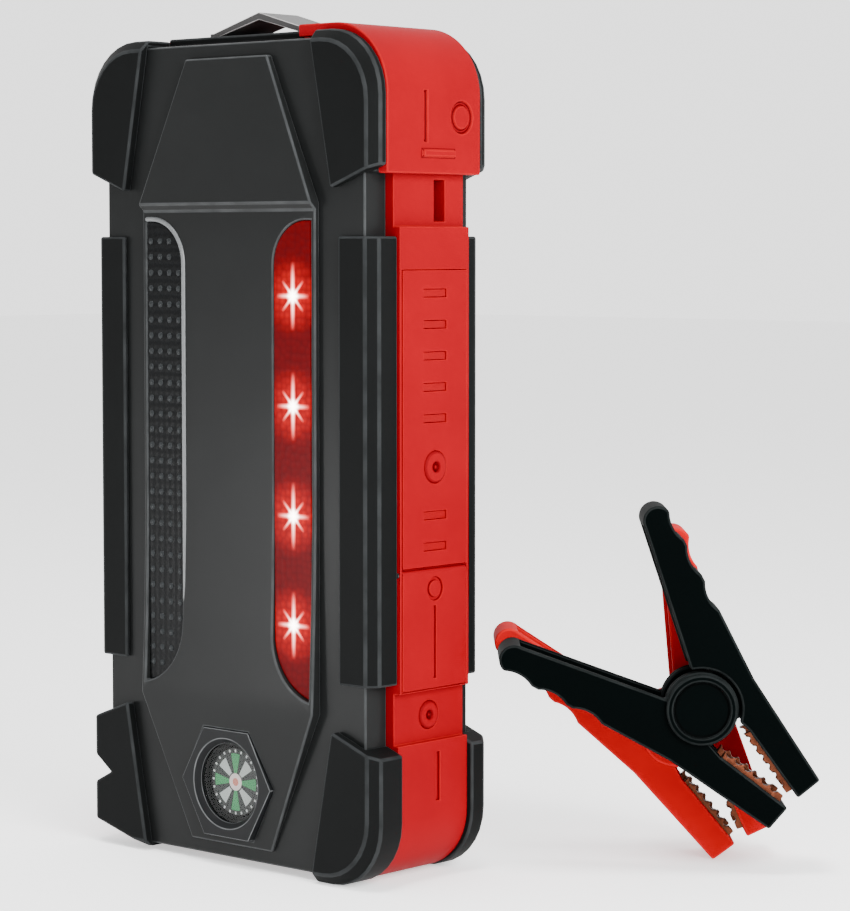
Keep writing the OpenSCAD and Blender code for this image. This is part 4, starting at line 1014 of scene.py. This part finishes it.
class JumpStarterStage(bpy.types.Operator):
    """Sets the floor, the lights, the world and the camera."""

    bl_idname = "jump_starter.stage"
    bl_label = "Stage"

    def execute(self, context):
        scene = context.scene
        back = toward(VIEW_AZIMUTH, VIEW_ELEVATION)
        right = Vector((math.cos(VIEW_AZIMUTH), math.sin(VIEW_AZIMUTH), 0))
        lens = bpy.data.cameras.new("Photo camera")
        lens.sensor_width = SENSOR
        lens.lens = SENSOR * FOCAL_PX / max(PHOTO_W, PHOTO_H)
        camera = bpy.data.objects.new("Photo camera", lens)
        camera.location = Vector((0, 0, VIEW_HEIGHT)) + back * VIEW_DISTANCE + right * VIEW_SIDE
        camera.rotation_mode = "QUATERNION"
        camera.rotation_quaternion = back.to_track_quat("Z", "Y")
        scene.collection.objects.link(camera)
        scene.camera = camera
        self.lay_floor(scene)
        self.light_room(scene, back)
        # Each soft box: azimuth, elevation and cone in degrees, distance and side in metres, power in watts
        boxes = [
            ("Key", 74, 22, 180, 0.5, 0.25, 5.0),
            ("Low", -34, -9, 80, 0.5, 0.08, 0.235),
            ("Top", 25, 78, 180, 0.9, 0.3, 10.0),
        ]
        for box in boxes:
            self.hang_box(scene, *box)
        return {"FINISHED"}

    def light_room(self, scene, back):
        """A room whose backdrop is lit and whose side behind the camera is dim."""
        world = bpy.data.worlds.new("Studio")
        world.use_nodes = True
        sky = world.node_tree.nodes["Background"]
        sky.inputs["Color"].default_value = rgba(linear("ffffff"))
        way = add(world.node_tree, "ShaderNodeTexCoord").outputs["Generated"]
        behind = add(
            world.node_tree, "ShaderNodeVectorMath", {0: way, 1: -back}, operation="DOT_PRODUCT"
        )
        glow = add(
            world.node_tree, "ShaderNodeMapRange",
            {
                "Value": behind.outputs["Value"], "From Min": DIM_UP_TO, "From Max": LIT_FROM,
                "To Min": ROOM, "To Max": BACKDROP,
            },
        )
        # Seen directly, the room is as bright all round as the backdrop
        plain = add(
            world.node_tree, "ShaderNodeMix",
            {
                "Factor": add(world.node_tree, "ShaderNodeLightPath").outputs["Is Camera Ray"],
                "A": glow.outputs[0], "B": BACKDROP,
            },
        )
        link(world.node_tree, sky, Strength=plain.outputs[0])
        scene.world = world

    def lay_floor(self, scene):
        """A wide pale floor under the pack and the clamps."""
        mesh = bmesh.new()
        bmesh.ops.create_grid(mesh, x_segments=24, y_segments=24, size=FLOOR_HALF)
        data = bpy.data.meshes.new("Floor")
        mesh.to_mesh(data)
        mesh.free()
        material, tree, shader = start(
            "Studio floor, lit opal acrylic", IOR=1.49, Roughness=0.7, Specular_IOR_Level=0.1,
            Emission_Color=rgba(linear("ffffff")), Emission_Strength=FLOOR_GLOW,
        )
        place = add(tree, "ShaderNodeTexCoord").outputs["Object"]
        cloud = add(tree, "ShaderNodeTexNoise", {"Vector": place, "Scale": 3.0})
        shade = scene.jump_starter_colours.floor
        tone = add(
            tree, "ShaderNodeMix", {0: cloud.outputs["Fac"], 6: rgba(shade, 0.985), 7: rgba(shade)},
            data_type="RGBA",
        )
        link(tree, shader, Base_Color=tone.outputs[2])
        data.materials.append(material)
        floor = bpy.data.objects.new("Floor", data)
        scene.collection.objects.link(floor)

    def hang_box(self, scene, name, azimuth, elevation, cone, distance, side, power):
        """One soft box, aimed at the middle of the pack."""
        lamp = bpy.data.lights.new(name, "AREA")
        lamp.size = side
        lamp.energy = power
        lamp.spread = math.radians(cone)
        box = bpy.data.objects.new(name, lamp)
        out = toward(math.radians(azimuth), math.radians(elevation))
        box.location = Vector((0, 0, VIEW_HEIGHT)) + out * distance
        box.rotation_mode = "QUATERNION"
        box.rotation_quaternion = out.to_track_quat("Z", "Y")
        box.visible_camera = False
        scene.collection.objects.link(box)


STEPS = (
    JumpStarterCase, JumpStarterBumpers, JumpStarterRedSide, JumpStarterLights, JumpStarterCompass,
    JumpStarterBridge, JumpStarterInsides, JumpStarterClamps, JumpStarterStage,
)


class JumpStarterPanel(bpy.types.Panel):
    """Steps and settings of the jump starter pack."""

    bl_idname = "VIEW3D_PT_jump_starter"
    bl_label = "Jump Starter"
    bl_space_type = "VIEW_3D"
    bl_region_type = "UI"
    bl_category = "Jump Starter"

    def draw(self, context):
        for step in STEPS:
            self.layout.operator(step.bl_idname)
        for group in (context.scene.jump_starter_colours, context.scene.jump_starter_sizes):
            for name in group.__annotations__:
                self.layout.prop(group, name)


CLASSES = (JumpStarterColours, JumpStarterSizes, *STEPS, JumpStarterPanel)


def register():
    """Makes the steps, the panel and the scene's settings known."""
    for kind in CLASSES:
        bpy.utils.register_class(kind)
    bpy.types.Scene.jump_starter_colours = bpy.props.PointerProperty(type=JumpStarterColours)
    bpy.types.Scene.jump_starter_sizes = bpy.props.PointerProperty(type=JumpStarterSizes)


def unregister():
    """Takes back what register did, in the other order."""
    del bpy.types.Scene.jump_starter_sizes
    del bpy.types.Scene.jump_starter_colours
    for kind in reversed(CLASSES):
        bpy.utils.unregister_class(kind)


def main():
    """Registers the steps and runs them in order."""
    register()
    for step in STEPS:
        group, name = step.bl_idname.split(".")
        getattr(getattr(bpy.ops, group), name)()


if __name__ == "__main__":
    main()
